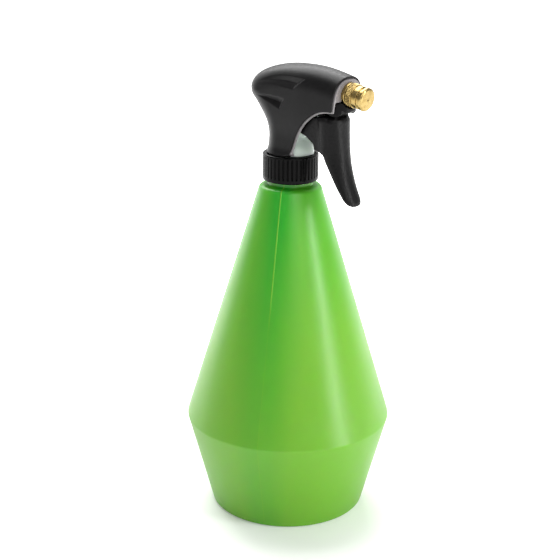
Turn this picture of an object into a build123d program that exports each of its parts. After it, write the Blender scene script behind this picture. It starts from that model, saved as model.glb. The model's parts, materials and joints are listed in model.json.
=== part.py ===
from build123d import *
import math
import os

# Trigger pump sprayer on a one-litre bottle.
# Frame: millimetres, +Z up, origin at the centre of the bottle's base, +X the way it sprays.
# The head stands on the bottle's axis. Its nozzle, outlet tube and cap share one axis that dips forward.

# ---- bottle ----
BASE_R = 45.0            # outer radius at the table
BASE_ROUND = 1.6
FOOT_R = 40.0            # inner edge of the ring the bottle stands on
DISH_R = 34.0            # edge of the flat middle of the base
PUSH_UP = 3.0            # rise of the base's middle
WAIST_R = 60.07          # before the ridge is rounded: 120 across once it is
WAIST_Z = 55.5
WAIST_ROUND = 1.8
SHOULDER_R = 17.6
SHOULDER_Z = 195.6
SHOULDER_ROUND = 2.6
WALL = 0.9
SLANT = 1.04             # horizontal thickness of a sloping wall, as a share of its true one
NECK_ROOT_R = 12.6       # 28 mm finish: thread root, crest and bore
NECK_CREST_R = 13.75
NECK_BORE_R = 10.75
NECK_TOP_Z = 209.5
THREAD_PITCH = 4.23      # six threads to the inch
THREAD_TURNS = 1.25
THREAD_FOOT = 2.2        # axial width of a thread at its root
THREAD_CREST = 0.8
THREAD_START_Z = 201.6   # centre of the bottle's thread at its lower end
NUT_START_TURN = 0.375   # turn at which the collar's thread begins, between the bottle's own turns
THREAD_SINK = 0.2        # how far a thread's root reaches into the wall that carries it

# ---- collar ----
COLLAR_R = 16.0
COLLAR_BORE_R = 14.05
COLLAR_THREAD_R = 12.9
COLLAR_Z0 = 198.7
COLLAR_Z1 = 214.2
COLLAR_LIP = 1.6
COLLAR_CHAMFER = 0.9
LIP_BORE_R = 12.3
RIBS = 40
RIB_DEPTH = 0.65
RIB_GAP_SHARE = 0.38     # share of the pitch that is groove
RIB_Z0 = 201.2
RIB_Z1 = 212.9

# ---- pump body and inlet ----
GASKET_T = 1.2
GASKET_GAP = 0.1         # gasket to the flange's edge, and to the bore's
FLANGE_R = 13.6
FLANGE_Z1 = 212.5
PLUG_R = 10.3            # ring that enters the bottle's bore
PLUG_T = 1.3
PLUG_Z0 = 206.0
HUB_R = 6.4
HUB_Z0 = 203.0
RETAINER_R = 5.0
RETAINER_Z0 = 201.0
SEAT_Z = 214.0
SEAT_R = 1.8
INLET_BALL_R = 2.4
INLET_CAVITY_R = 3.6
INLET_CAVITY_Z1 = 220.2
TUBE_R = 3.0
TUBE_BORE_R = 2.1
TUBE_TOP_Z = 209.0
TUBE_FOOT_Z = 8.5
FILTER_R = 4.3
FILTER_Z0 = 5.0
FILTER_Z1 = 17.0
FILTER_FLOOR = 1.4
FILTER_BORE_R = 2.4
FILTER_SLOTS = 8
FILTER_SLOT_Z = 7.4
FILTER_SLOT = (5.0, 0.8, 2.0)
COLUMN_R = 11.0          # the dome seen between the skirt and the trigger
COLUMN_Z = 215.6
DOME_R = 8.2
DOME_Z = 222.6
DOME_SLOPE = (-0.55, 1)
LOBE_X = 3.0             # the dome's second centre, which carries it forward over the collar
LOBE_Z0 = 214.4
POST_R = 7.6
POST_Z = 224.1
BALL_GAP = 0.02          # a resting ball's distance from its seat

# ---- pump chamber ----
PISTON_Z = 232.0
CHAMBER_R = 6.7
CHAMBER_BORE_R = 5.5
CHAMBER_X0 = -8.0
CHAMBER_X1 = 15.5
CHAMBER_END = 1.0
PORT_X = -4.4            # inlet and outlet ports, at the closed end
PORT_R = 1.5
PORT_DROP = 2.2          # height of the passage from the inlet's cavity to its port
PISTON_R = 5.0
PISTON_X0 = 4.0
PISTON_LEN = 8.0
PISTON_ROD_R = 2.8
PISTON_NOSE_R = 4.0
PUSH_GAP = 0.3           # nose to the trigger's web
SEAL_R = 5.46
SEAL_INNER_R = 4.0
SEAL_X0 = 5.6
SEAL_LEN = 3.0
SEAL_LIP = 0.9           # length of each of the seal's two lips
SEAL_WAIST_R = 4.96
SPRING_TURNS = 5
SPRING_GAP = 0.05        # a spring's ends to what they press on
RETURN_COIL_R = 4.2
RETURN_WIRE_R = 0.4

# ---- outlet ----
RISER_R = 4.2
VALVE_SEAT_Z = 244.0
VALVE_SEAT_R = 1.4
VALVE_BORE_R = 2.9
VALVE_TOP_Z = 252.5
VALVE_COIL_R = 1.9
VALVE_WIRE_R = 0.2
OUTLET_BALL_R = 2.0
OUTLET_TUBE_R = 2.2
OUTLET_BORE_R = 1.3
OUTLET_BEND = 5.0
OUTLET_PLUG_Z0 = 251.0
OUTLET_LIP = 0.8         # rim of the plug that rests on the riser

# ---- nozzle axis: x and z of the bezel's face on it, and how far it dips ----
BEZEL_X = 41.0
BEZEL_Z = 253.15
DIP = 8.0
BEZEL_T = 2.0

# ---- brass stem and cap, along the nozzle axis from the bezel's face ----
STEM_SPIGOT_R = 3.4
STEM_SPIGOT_LEN = 11.0
STEM_SOCKET = 6.0        # how far the outlet tube enters the spigot
STEM_FLANGE_R = 6.4
STEM_FLANGE_T = 2.2
STEM_SHANK_R = 4.0
STEM_END = 9.0
STEM_BORE_R = 1.2
RING_GROOVE_R = 3.3
RING_AT = 7.4
RING_W = 0.9
CAP_START = 2.8
CAP_BORE_R = 4.06
CAP_END = 13.6
CAP_TIP = 14.04
CAP_CONE_R = (5.9, 1.2)  # the front's cone, at its foot and at its tip
CAP_ORIFICE_R = 0.5
CAP_CHAMBER_END = 12.7
KNURLS = 48
KNURL_R = 6.6
KNURL_DEPTH = 0.22
KNURL_SHARE = 0.55       # share of the pitch that is ridge
KNURL_MARGIN = 0.3       # plain metal at each end of the knurls
CAP_PROFILE = [          # (end of the ring, its radius)
    (6.4, KNURL_R - KNURL_DEPTH),
    (7.0, 6.0),
    (9.9, 6.3),
    (11.4, 5.7),
    (CAP_END, 6.5),
]
CORE_R = 2.6
CORE_T = 1.6
CORE_PLUG = 2.0          # how far the core's plug enters the stem
CORE_BORE_R = 0.5
CORE_SLOTS = 3
CORE_SLOT = (0.6, 2.6, 1.0)
CORE_SLOT_AT = (0.8, 1.6)
WASHER_T = 0.9
WASHER_BORE_R = 1.4
RING_CLEARANCE = 0.02    # soft rings to what they seal against

# ---- trigger ----
PIVOT_X = 34.0
PIVOT_Z = 247.0
PIN_R = 1.5
PIN_FIT = 0.05
PIN_HALF = 8.9
KNUCKLE_R = 3.4
KNUCKLE_HALF = 5.6
EAR_IN = 6.0             # the cradle's ears, either side of the knuckle
EAR_OUT = 9.3
EAR_R = 4.3
KNUCKLE_ROOM = 4.9       # from the pivot to the front of the gap between the ears
VISOR_WALL_X = 42.4      # back of the visor's front wall, and underside of its roof
VISOR_ROOF_Z = 244.2
NOZZLE_CLEAR_R = 7.2     # the dished top that the brass nozzle lies in
CHIN_PLAN = (11.2, 9.8) # half length and half width of the chin's round plan, about its rear end
CHIN_OUTLINE = [         # side view, from its rear top corner round the lip
    (33.0, 248.8), (40.4, 248.8), (42.2, 249.0), (44.4, 245.4), (44.0, 243.8), (42.4, 242.4), (39.0, 241.2),
    (36.5, 241.6), (33.0, 243.0),
]
FLANGE_IN = 7.1          # the trigger's side plates, which straddle the chamber
FLANGE_OUT = 8.6
WEB_X = 27.0             # face that pushes the piston
WEB_T = 2.2
WEB_H = 11.0
LEVER_WALL = 2.0
HOLLOW_REACH = 3.0       # how far the cutting shape of the lever's channel starts behind it

LEVER_STATIONS = [       # z, rear x, front x, half width, front corner radius
    (239.6, 27.6, 39.2, 10.0, 8.5),
    (229.0, 27.8, 39.9, 9.5, 8.3),
    (219.0, 29.0, 40.9, 8.9, 7.8),
    (210.0, 33.8, 42.6, 8.2, 6.8),
    (202.0, 38.2, 45.3, 7.5, 5.6),
    (195.0, 42.9, 48.6, 6.9, 4.6),
    (191.5, 45.0, 49.8, 6.0, 4.0),
    (189.8, 46.0, 49.0, 4.2, 2.6),
]

LEVER_NECK = [           # side view of what joins the lever to its knuckle
    (31.2, 247.0), (30.8, 238.2), (37.0, 238.2), (37.0, 247.0),
]

SIDE_PLATE = [           # side view of the plates, from the lever back to the chamber
    (31.0, 219.6), (24.4, 220.8), (23.8, 223.8), (21.0, 225.6), (18.4, 227.4), (13.6, 228.9), (14.6, 233.0),
    (20.0, 238.6), (31.0, 239.4),
]

# ---- housings: a shroud over a liner, both insets of one outer form ----
SHROUD_T = 1.2
LINER_OUT = 1.3
LINER_IN = 2.2
LINER_PROUD = 0.9        # how far the liner's edge shows past the shroud's
PROUD_WAY = (0.75, -0.65)  # the way the front edge moves forward, in side view
LINER_COLUMN_GAP = 0.2
LINER_RELIEF = 3.2       # height above the dome's shoulder to which the liner is relieved for it
BEZEL_FOOT_Z = 249.1     # below this the cradle closes the nose
RIB_T = 1.6              # the liner's rib, which bears on the chamber's closed end
RIB_H = 5.0
HUMP_FLOOR = 247.0
CORNER_MARGIN = 0.15     # what keeps a section's round corners from meeting
INSET_FLOOR = 0.45       # least share of a small section's size that an inset leaves
ROUND_STATIONS = 4       # sections at the hump's round rear end, which move forward when inset

NECK_STATIONS = [        # z, rear x, front x (past what the opening cuts away), half width
    (214.6, -14.2, 14.2, 14.2),
    (219.5, -12.9, 30.0, 12.9),
    (226.0, -12.2, 42.0, 12.3),
    (231.5, -13.8, 52.0, 12.5),
    (236.0, -17.5, 58.0, 12.8),
    (241.0, -21.4, 60.0, 13.0),
    (247.0, -25.3, 62.0, 13.1),
]

HUMP_STATIONS = [        # x, half width, top z, corner radius
    (-25.3, 2.6, 250.5, 2.0),
    (-24.2, 6.2, 254.2, 5.0),
    (-22.0, 9.3, 256.9, 7.5),
    (-18.0, 11.7, 259.8, 9.2),
    (-12.0, 12.9, 262.3, 10.0),
    (-3.0, 13.1, 264.4, 10.3),
    (8.0, 13.1, 265.5, 10.4),
    (18.3, 13.0, 265.7, 10.4),
    (30.0, 12.7, 264.6, 10.0),
    (43.0, 12.3, 262.0, 9.6),
]

FRONT_EDGE = [           # side view of the shroud's lower front edge, from the skirt to the nozzle
    (9.0, 213.0),
    (11.4, 220.6),
    (13.0, 225.7),
    (16.0, 231.1),
    (19.9, 235.9),
    (24.5, 239.8),
    (31.4, 243.1),
    (38.9, 244.0),
]
RIM_TOP = (41.5, 262.3)  # top of the nozzle opening

UPPER_FLUTE = [          # side views of the two grooves pressed into each side
    (-13.0, 255.2), (-7.7, 257.4), (0.0, 259.0), (9.3, 259.6), (19.6, 259.3), (12.6, 253.6), (4.3, 254.0),
]
LOWER_FLUTE = [
    (-15.4, 247.3), (-7.0, 247.9), (-0.5, 247.8), (5.2, 246.6), (2.4, 241.4), (-1.8, 243.0), (-7.6, 245.0),
]
FLUTE_FLOOR = 12.55      # distance of the flutes' floor from the mid-plane

EPS = 0.01
FAR = 60.0               # reach of cutting shapes past anything they cut


def nozzle_point(along):
    """A point on the nozzle axis, a distance along it from the bezel's face."""
    tilt = math.radians(DIP)
    return Vector(BEZEL_X + along * math.cos(tilt), 0, BEZEL_Z - along * math.sin(tilt))


def nozzle_plane(along):
    """A plane across the nozzle axis, whose normal points the way it sprays."""
    tilt = math.radians(DIP)
    return Plane(origin=nozzle_point(along), x_dir=(0, 1, 0), z_dir=(math.cos(tilt), 0, -math.sin(tilt)))


def disc_z(radius, low, high, x=0.0):
    """A cylinder about a vertical line."""
    return extrude(Plane.XY.offset(low) * Pos(x, 0) * Circle(radius), high - low)


def ring_z(outer, inner, low, high):
    return disc_z(outer, low, high) - disc_z(inner, low - EPS, high + EPS)


def rod_x(radius, x0, x1, z=PISTON_Z):
    """A cylinder along X."""
    return extrude(Plane(origin=(x0, 0, z), x_dir=(0, 1, 0), z_dir=(1, 0, 0)) * Circle(radius), x1 - x0)


def disc_n(radius, start, end):
    """A cylinder along the nozzle axis."""
    return extrude(nozzle_plane(start) * Circle(radius), end - start)


def ring_n(outer, inner, start, end):
    return disc_n(outer, start, end) - disc_n(inner, start - EPS, end + EPS)


def side_plate(points, y0, y1):
    """A plate whose outline is drawn in side view, from y0 to y1."""
    face = make_face(Plane.XZ * Polyline(*points, close=True))
    return extrude(face.moved(Location((0, y1, 0))), y1 - y0, dir=(0, -1, 0))


def turned_z(points):
    """A solid of revolution about Z from (radius, z) corners."""
    return revolve(make_face(Plane.XZ * Polyline(*points, close=True)), Axis.Z, 360)


def thread_ridge(root_r, crest_r, z0, start_angle):
    """One helical ridge, from its root to its crest, of THREAD_TURNS turns."""
    sink = THREAD_SINK if crest_r > root_r else -THREAD_SINK
    radius = root_r - sink
    helix = Helix(pitch=THREAD_PITCH, height=THREAD_PITCH * THREAD_TURNS, radius=radius)
    section_plane = Plane(origin=helix @ 0, x_dir=(1, 0, 0), z_dir=helix % 0)
    reach = crest_r - radius
    section = section_plane * Polygon(
        (0, -THREAD_FOOT / 2),
        (reach, -THREAD_CREST / 2),
        (reach, THREAD_CREST / 2),
        (0, THREAD_FOOT / 2),
        align=None,
    )
    ridge = sweep(section, path=helix, is_frenet=True)
    return Pos(0, 0, z0) * Rot(0, 0, start_angle) * ridge


# ---- bottle ----

def bottle_form(inset):
    """The bottle's body, closed, moved inward by the wall when inset is the wall's thickness."""
    slant = inset * SLANT
    corners = [
        (0, PUSH_UP + inset),
        (DISH_R - inset, PUSH_UP + inset),
        (FOOT_R - inset, inset),
        (BASE_R - slant, inset),
        (WAIST_R - slant, WAIST_Z),
        (SHOULDER_R - slant, SHOULDER_Z - inset),
        (0, SHOULDER_Z - inset),
    ]
    face = make_face(Plane.XZ * Polyline(*corners, close=True))
    body = revolve(face, Axis.Z, 360)
    rounds = [
        (BASE_R - slant, inset, BASE_ROUND),
        (WAIST_R - slant, WAIST_Z, WAIST_ROUND),
        (SHOULDER_R - slant, SHOULDER_Z - inset, SHOULDER_ROUND - inset),
    ]
    for radius, level, rounding in rounds:
        edge = [e for e in body.edges().filter_by(GeomType.CIRCLE)
                if abs(e.radius - radius) < EPS and abs(e.arc_center.Z - level) < EPS]
        body = fillet(edge, rounding)
    return body


def bottle():
    outside = bottle_form(0) + disc_z(NECK_ROOT_R, SHOULDER_Z - 2, NECK_TOP_Z)
    outside += thread_ridge(NECK_ROOT_R, NECK_CREST_R, THREAD_START_Z, 0)
    inside = bottle_form(WALL) + disc_z(NECK_BORE_R, SHOULDER_Z - 3, NECK_TOP_Z + 1)
    return outside - inside


# ---- collar ----

def collar():
    envelope = turned_z([
        (COLLAR_BORE_R, COLLAR_Z0),
        (COLLAR_R - COLLAR_CHAMFER, COLLAR_Z0),
        (COLLAR_R, COLLAR_Z0 + COLLAR_CHAMFER),
        (COLLAR_R, COLLAR_Z1 - COLLAR_CHAMFER),
        (COLLAR_R - COLLAR_CHAMFER, COLLAR_Z1),
        (LIP_BORE_R, COLLAR_Z1),
        (LIP_BORE_R, COLLAR_Z1 - COLLAR_LIP),
        (COLLAR_BORE_R, COLLAR_Z1 - COLLAR_LIP),
    ])
    groove_width = 2 * math.pi * COLLAR_R / RIBS * RIB_GAP_SHARE
    groove = Pos(0, 0, (RIB_Z0 + RIB_Z1) / 2) * Box(2 * RIB_DEPTH, groove_width, RIB_Z1 - RIB_Z0)
    body = envelope - [place * groove for place in PolarLocations(COLLAR_R, RIBS)]
    start_z = THREAD_START_Z + (NUT_START_TURN - 0.5) * THREAD_PITCH
    return body + thread_ridge(COLLAR_BORE_R, COLLAR_THREAD_R, start_z, NUT_START_TURN * 360)


def neck_gasket():
    return ring_z(FLANGE_R - GASKET_GAP, NECK_BORE_R + GASKET_GAP, NECK_TOP_Z, NECK_TOP_Z + GASKET_T)


# ---- pump body ----

def dome(foot_z):
    outline = Plane.XZ * (
        Polyline((0, foot_z), (COLUMN_R, foot_z), (COLUMN_R, COLUMN_Z))
        + Spline((COLUMN_R, COLUMN_Z), (DOME_R, DOME_Z), tangents=[(0, 1), DOME_SLOPE])
        + Polyline((DOME_R, DOME_Z), (POST_R, POST_Z), (POST_R, PISTON_Z), (0, PISTON_Z), (0, foot_z))
    )
    return revolve(make_face(outline), Axis.Z, 360)


def pump_body():
    flange_z0 = NECK_TOP_Z + GASKET_T
    body = disc_z(FLANGE_R, flange_z0, FLANGE_Z1)
    body += ring_z(PLUG_R, PLUG_R - PLUG_T, PLUG_Z0, flange_z0)
    body += disc_z(HUB_R, HUB_Z0, flange_z0)
    body += dome(FLANGE_Z1) + Pos(LOBE_X, 0) * dome(LOBE_Z0)
    body += rod_x(CHAMBER_R, CHAMBER_X0, CHAMBER_X1)
    body += disc_z(RISER_R, PISTON_Z, VALVE_TOP_Z, PORT_X)
    hollows = [
        disc_z(RETAINER_R, HUB_Z0 - EPS, SEAT_Z),
        disc_z(INLET_CAVITY_R, SEAT_Z - EPS, INLET_CAVITY_Z1),
        Pos(PORT_X / 2, 0, INLET_CAVITY_Z1 - PORT_DROP / 2) * Box(-PORT_X, 2 * PORT_R, PORT_DROP),
        disc_z(PORT_R, INLET_CAVITY_Z1 - PORT_DROP, PISTON_Z, PORT_X),
        rod_x(CHAMBER_BORE_R, CHAMBER_X0 + CHAMBER_END, CHAMBER_X1 + EPS),
        disc_z(VALVE_SEAT_R, PISTON_Z, VALVE_SEAT_Z, PORT_X),
        disc_z(VALVE_BORE_R, VALVE_SEAT_Z, VALVE_TOP_Z + EPS, PORT_X),
    ]
    for hollow in hollows:
        body -= hollow
    return body


def tube_retainer():
    body = disc_z(RETAINER_R, RETAINER_Z0, SEAT_Z) + disc_z(HUB_R, RETAINER_Z0, HUB_Z0)
    body -= disc_z(TUBE_R, RETAINER_Z0 - EPS, TUBE_TOP_Z)
    return body - disc_z(SEAT_R, TUBE_TOP_Z - EPS, SEAT_Z + EPS)


def ball_on_seat(ball_r, seat_r, seat_z, x=0.0):
    """A valve ball resting on the edge of its seat."""
    height = math.sqrt(ball_r ** 2 - seat_r ** 2) + BALL_GAP
    return Pos(x, 0, seat_z + height) * Sphere(ball_r)


def dip_tube():
    return ring_z(TUBE_R, TUBE_BORE_R, TUBE_FOOT_Z, TUBE_TOP_Z)


def intake_filter():
    """A slotted cup pushed on the tube's foot."""
    body = disc_z(FILTER_R, FILTER_Z0, FILTER_Z1) - disc_z(TUBE_R, TUBE_FOOT_Z, FILTER_Z1 + EPS)
    body -= disc_z(FILTER_BORE_R, FILTER_Z0 + FILTER_FLOOR, TUBE_FOOT_Z + EPS)
    for number in range(FILTER_SLOTS):
        slot = Pos(FILTER_R - 1, 0, FILTER_SLOT_Z) * Box(*FILTER_SLOT)
        body -= Rot(0, 0, number * 360 / FILTER_SLOTS) * slot
    return body


# ---- piston ----

def piston():
    nose_x = WEB_X - PUSH_GAP - PISTON_NOSE_R
    head_end = PISTON_X0 + PISTON_LEN
    body = rod_x(PISTON_R, PISTON_X0, head_end) + rod_x(PISTON_ROD_R, head_end, nose_x)
    body += Pos(nose_x, 0, PISTON_Z) * Sphere(PISTON_NOSE_R)
    seal_end = SEAL_X0 + SEAL_LEN
    seal_room = rod_x(PISTON_R + 1, SEAL_X0, seal_end) - rod_x(SEAL_INNER_R, SEAL_X0, seal_end)
    return body - seal_room


def piston_seal():
    seal_end = SEAL_X0 + SEAL_LEN
    seal = rod_x(SEAL_R, SEAL_X0, seal_end) - rod_x(SEAL_INNER_R, SEAL_X0 - EPS, seal_end + EPS)
    waist = rod_x(SEAL_R + 1, SEAL_X0 + SEAL_LIP, seal_end - SEAL_LIP)
    waist -= rod_x(SEAL_WAIST_R, SEAL_X0, seal_end)
    return seal - waist


def coil(radius, wire_r, length, turns):
    """A compression spring standing on z = 0."""
    helix = Helix(pitch=(length - 2 * wire_r) / turns, height=length - 2 * wire_r, radius=radius)
    section = Plane(origin=helix @ 0, z_dir=helix % 0) * Circle(wire_r)
    return Pos(0, 0, wire_r) * sweep(section, path=helix, is_frenet=True)


def return_spring():
    start = CHAMBER_X0 + CHAMBER_END
    length = PISTON_X0 - start - 2 * SPRING_GAP
    spring = coil(RETURN_COIL_R, RETURN_WIRE_R, length, SPRING_TURNS)
    return Pos(start + SPRING_GAP, 0, PISTON_Z) * Rot(0, 90, 0) * spring


def outlet_spring():
    ball_top = VALVE_SEAT_Z + math.sqrt(OUTLET_BALL_R ** 2 - VALVE_SEAT_R ** 2) + OUTLET_BALL_R
    start = ball_top + 2 * SPRING_GAP
    length = OUTLET_PLUG_Z0 - start - SPRING_GAP
    return Pos(PORT_X, 0, start) * coil(VALVE_COIL_R, VALVE_WIRE_R, length, SPRING_TURNS)


# ---- outlet tube ----

def outlet_tube():
    """From the valve's top up, round one bend, and along the nozzle axis into the stem."""
    rise = BEZEL_Z + (BEZEL_X - PORT_X) * math.tan(math.radians(DIP))
    end = nozzle_point(STEM_SOCKET - STEM_SPIGOT_LEN)
    path = FilletPolyline((PORT_X, 0, OUTLET_PLUG_Z0), (PORT_X, 0, rise), end, radius=OUTLET_BEND)
    start_plane = Plane(origin=path @ 0, z_dir=path % 0)
    tube = sweep(start_plane * Circle(OUTLET_TUBE_R), path=path)
    plug = disc_z(VALVE_BORE_R, OUTLET_PLUG_Z0, VALVE_TOP_Z, PORT_X)
    plug += disc_z(RISER_R, VALVE_TOP_Z, VALVE_TOP_Z + OUTLET_LIP, PORT_X)
    return tube + plug - sweep(start_plane * Circle(OUTLET_BORE_R), path=path)


# ---- brass nozzle ----

def nozzle_stem():
    body = disc_n(STEM_SPIGOT_R, -STEM_SPIGOT_LEN, 0) + disc_n(STEM_FLANGE_R, 0, STEM_FLANGE_T)
    body += disc_n(STEM_SHANK_R, STEM_FLANGE_T, STEM_END)
    body -= disc_n(OUTLET_TUBE_R, -STEM_SPIGOT_LEN - EPS, STEM_SOCKET - STEM_SPIGOT_LEN)
    body -= disc_n(STEM_BORE_R, -STEM_SPIGOT_LEN, STEM_END + EPS)
    return body - ring_n(STEM_SHANK_R + 1, RING_GROOVE_R, RING_AT, RING_AT + RING_W)


def stem_o_ring():
    """A soft ring that fills its groove and just clears the cap's bore."""
    middle = RING_AT + RING_W / 2
    section_r = (CAP_BORE_R - RING_CLEARANCE - RING_GROOVE_R) / 2
    return nozzle_plane(middle).location * Torus(RING_GROOVE_R + section_r, section_r)


def swirl_core():
    """A disc with tangential slots that spins the water in front of the stem."""
    body = disc_n(STEM_BORE_R, STEM_END - CORE_PLUG, STEM_END) + disc_n(CORE_R, STEM_END, STEM_END + CORE_T)
    for number in range(CORE_SLOTS):
        slot = Rot(0, 0, number * 360 / CORE_SLOTS) * Pos(*CORE_SLOT_AT, CORE_T) * Box(*CORE_SLOT)
        body -= nozzle_plane(STEM_END).location * slot
    return body - disc_n(CORE_BORE_R, STEM_END - CORE_PLUG - EPS, STEM_END + CORE_T + EPS)


def nozzle_seal():
    start = CAP_CHAMBER_END - WASHER_T
    return ring_n(CAP_BORE_R - RING_CLEARANCE, WASHER_BORE_R, start, CAP_CHAMBER_END - RING_CLEARANCE)


def nozzle_cap():
    body = None
    start = CAP_START
    for end, radius in CAP_PROFILE:
        ring = disc_n(radius, start, end)
        body = ring if body is None else body + ring
        start = end
    rise = CAP_TIP - CAP_END
    body += nozzle_plane(CAP_END + rise / 2).location * Cone(*CAP_CONE_R, rise)
    knurl_end = CAP_PROFILE[0][0]
    tooth_width = 2 * math.pi * KNURL_R / KNURLS * KNURL_SHARE
    tooth = Box(2 * KNURL_DEPTH, tooth_width, knurl_end - CAP_START - 2 * KNURL_MARGIN)
    ring = nozzle_plane((CAP_START + knurl_end) / 2).location
    body += [ring * place * tooth for place in PolarLocations(KNURL_R - KNURL_DEPTH, KNURLS)]
    body -= disc_n(CAP_BORE_R, CAP_START - EPS, CAP_CHAMBER_END)
    return body - disc_n(CAP_ORIFICE_R, CAP_CHAMBER_END - EPS, CAP_TIP + EPS)


# ---- housings ----

def neck_form(inset):
    """Stacked plan sections, from the skirt up to the hump's floor."""
    sections = []
    for z, rear, front, half in NECK_STATIONS:
        width = front - rear - 2 * inset
        depth = 2 * (half - inset)
        middle = (front + rear) / 2
        corner = min(width, depth) / 2 - CORNER_MARGIN
        sections.append(Plane.XY.offset(z) * Pos(middle, 0) * RectangleRounded(width, depth, corner))
    return loft(sections)


def hump_section(x, half, top, corner):
    """A flat-floored section across X, round at its two top corners."""
    outline = Plane(origin=(x, 0, 0), x_dir=(0, 1, 0), z_dir=(1, 0, 0)) * (
        Polyline((-half, top - corner), (-half, HUMP_FLOOR), (half, HUMP_FLOOR), (half, top - corner))
        + ThreePointArc((half, top - corner), (half - corner * (1 - math.sqrt(0.5)),
                        top - corner * (1 - math.sqrt(0.5))), (half - corner, top))
        + Line((half - corner, top), (corner - half, top))
        + ThreePointArc((corner - half, top), (corner * (1 - math.sqrt(0.5)) - half,
                        top - corner * (1 - math.sqrt(0.5))), (-half, top - corner))
    )
    return make_face(outline)


def hump_form(inset):
    sections = []
    rear_end = HUMP_STATIONS[ROUND_STATIONS][0]
    for x, half, top, corner in HUMP_STATIONS:
        shift = inset if x < rear_end else 0
        width = max(half - inset, INSET_FLOOR * half)
        rounding = min(max(corner - inset, INSET_FLOOR * corner), width - 2 * CORNER_MARGIN)
        sections.append(hump_section(x + shift, width, top - inset, rounding))
    return loft(sections, ruled=True)


def outer_form(inset):
    """The head's outside, moved inward by the inset."""
    return neck_form(inset) + hump_form(inset)


def open_front(proud):
    """What the housing's front edge cuts away, moved forward by how far the edge stands proud."""
    tilt = math.radians(DIP)
    edge = [(x + PROUD_WAY[0] * proud, z + PROUD_WAY[1] * proud) for x, z in FRONT_EDGE]
    top = (RIM_TOP[0] + 4 * math.sin(tilt), RIM_TOP[1] + 4 * math.cos(tilt))
    outline = Plane.XZ * (
        Spline(*edge)
        + Polyline(edge[-1], top, (FAR + 20, top[1]), (FAR + 20, 200), (edge[0][0], 200), edge[0])
    )
    return extrude(make_face(outline), FAR / 2, both=True)


def shroud():
    skirt_z, _, skirt_r, _ = NECK_STATIONS[0]
    shell = outer_form(0) - outer_form(SHROUD_T) - disc_z(skirt_r - SHROUD_T, skirt_z - 1, skirt_z + 1)
    shell -= open_front(0)
    for outline in (UPPER_FLUTE, LOWER_FLUTE):
        for side in (-1, 1):
            low, high = sorted((side * FLUTE_FLOOR, side * (FLUTE_FLOOR + 4)))
            shell -= side_plate(outline, low, high)
    return shell


def inner_housing():
    """The liner, its bezel behind the nozzle, and a rib that rests on the chamber."""
    outside = outer_form(LINER_OUT)
    shell = outside - outer_form(LINER_IN) - open_front(LINER_PROUD)
    for x in (0, LOBE_X):
        shell -= disc_z(COLUMN_R + LINER_COLUMN_GAP, NECK_STATIONS[0][0] - 1, COLUMN_Z + LINER_RELIEF, x)
    shell -= extrude(nozzle_plane(0) * Rectangle(FAR, FAR), FAR)
    slab = extrude(nozzle_plane(-BEZEL_T) * Rectangle(FAR, FAR), BEZEL_T)
    bezel = (outside & slab) - Pos(BEZEL_X, 0, BEZEL_FOOT_Z - FAR / 2) * Box(FAR, FAR, FAR)
    rib = Pos(CHAMBER_X0 - FAR / 4, 0, PISTON_Z - RIB_H / 2) * Box(FAR / 2, RIB_T, RIB_H)
    return shell + bezel + (outside & rib) - disc_n(STEM_SPIGOT_R, -BEZEL_T - 1, 1)


def nose_cradle():
    """The black chin under the bezel: two ears for the trigger's pin, a top plate and a visor."""
    body = side_plate(CHIN_OUTLINE, -EAR_OUT, EAR_OUT) + rod_y(EAR_R, -EAR_OUT, EAR_OUT)
    knuckle_room = Pos(PIVOT_X + KNUCKLE_ROOM - FAR / 2, 0, PIVOT_Z) * Box(FAR, 2 * EAR_IN, FAR)
    visor_room = Pos(VISOR_WALL_X - FAR / 2, 0, VISOR_ROOF_Z - FAR / 2) * Box(FAR, 2 * EAR_IN, FAR)
    body -= knuckle_room + visor_room + disc_n(NOZZLE_CLEAR_R, -BEZEL_T - 1, CAP_END)
    chin_x = CHIN_OUTLINE[0][0]
    floor = Plane.XY.offset(PIVOT_Z - FAR / 2)
    round_plan = extrude(floor * Pos(chin_x, 0) * Ellipse(*CHIN_PLAN), FAR)
    behind = Pos(chin_x - FAR / 2, 0, PIVOT_Z) * Box(FAR, FAR, FAR)
    body &= round_plan + behind
    body -= rod_y(PIN_R, -PIN_HALF, PIN_HALF)
    return body


def rod_y(radius, y0, y1, x=PIVOT_X, z=PIVOT_Z):
    """A cylinder along Y."""
    return extrude(Plane(origin=(x, y0, z), x_dir=(1, 0, 0), z_dir=(0, 1, 0)) * Circle(radius), y1 - y0)


def trigger_pin():
    return rod_y(PIN_R, -PIN_HALF, PIN_HALF)


# ---- trigger ----

def lever_section(z, rear, front, half, corner):
    """A plan section of the lever, flat behind and round in front."""
    bulge = corner * (1 - math.sqrt(0.5))
    outline = Plane.XY.offset(z) * (
        Polyline((front - corner, -half), (rear, -half), (rear, half), (front - corner, half))
        + ThreePointArc((front - corner, half), (front - bulge, half - bulge), (front, half - corner))
        + Line((front, half - corner), (front, corner - half))
        + ThreePointArc((front, corner - half), (front - bulge, bulge - half), (front - corner, -half))
    )
    return make_face(outline)


def lever_outside():
    return loft([lever_section(*station) for station in LEVER_STATIONS])


def lever_hollow():
    """The channel in the lever's back, open to the rear."""
    sections = []
    for z, rear, front, half, corner in LEVER_STATIONS[:-2]:
        inner_half, inner_corner = half - LEVER_WALL, corner - LEVER_WALL / 2
        sections.append(lever_section(z, rear - HOLLOW_REACH, front - LEVER_WALL, inner_half, inner_corner))
    roof = Pos(PIVOT_X, 0, LEVER_STATIONS[0][0]) * Box(FAR, FAR, 2 * LEVER_WALL)
    return loft(sections) - roof


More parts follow.
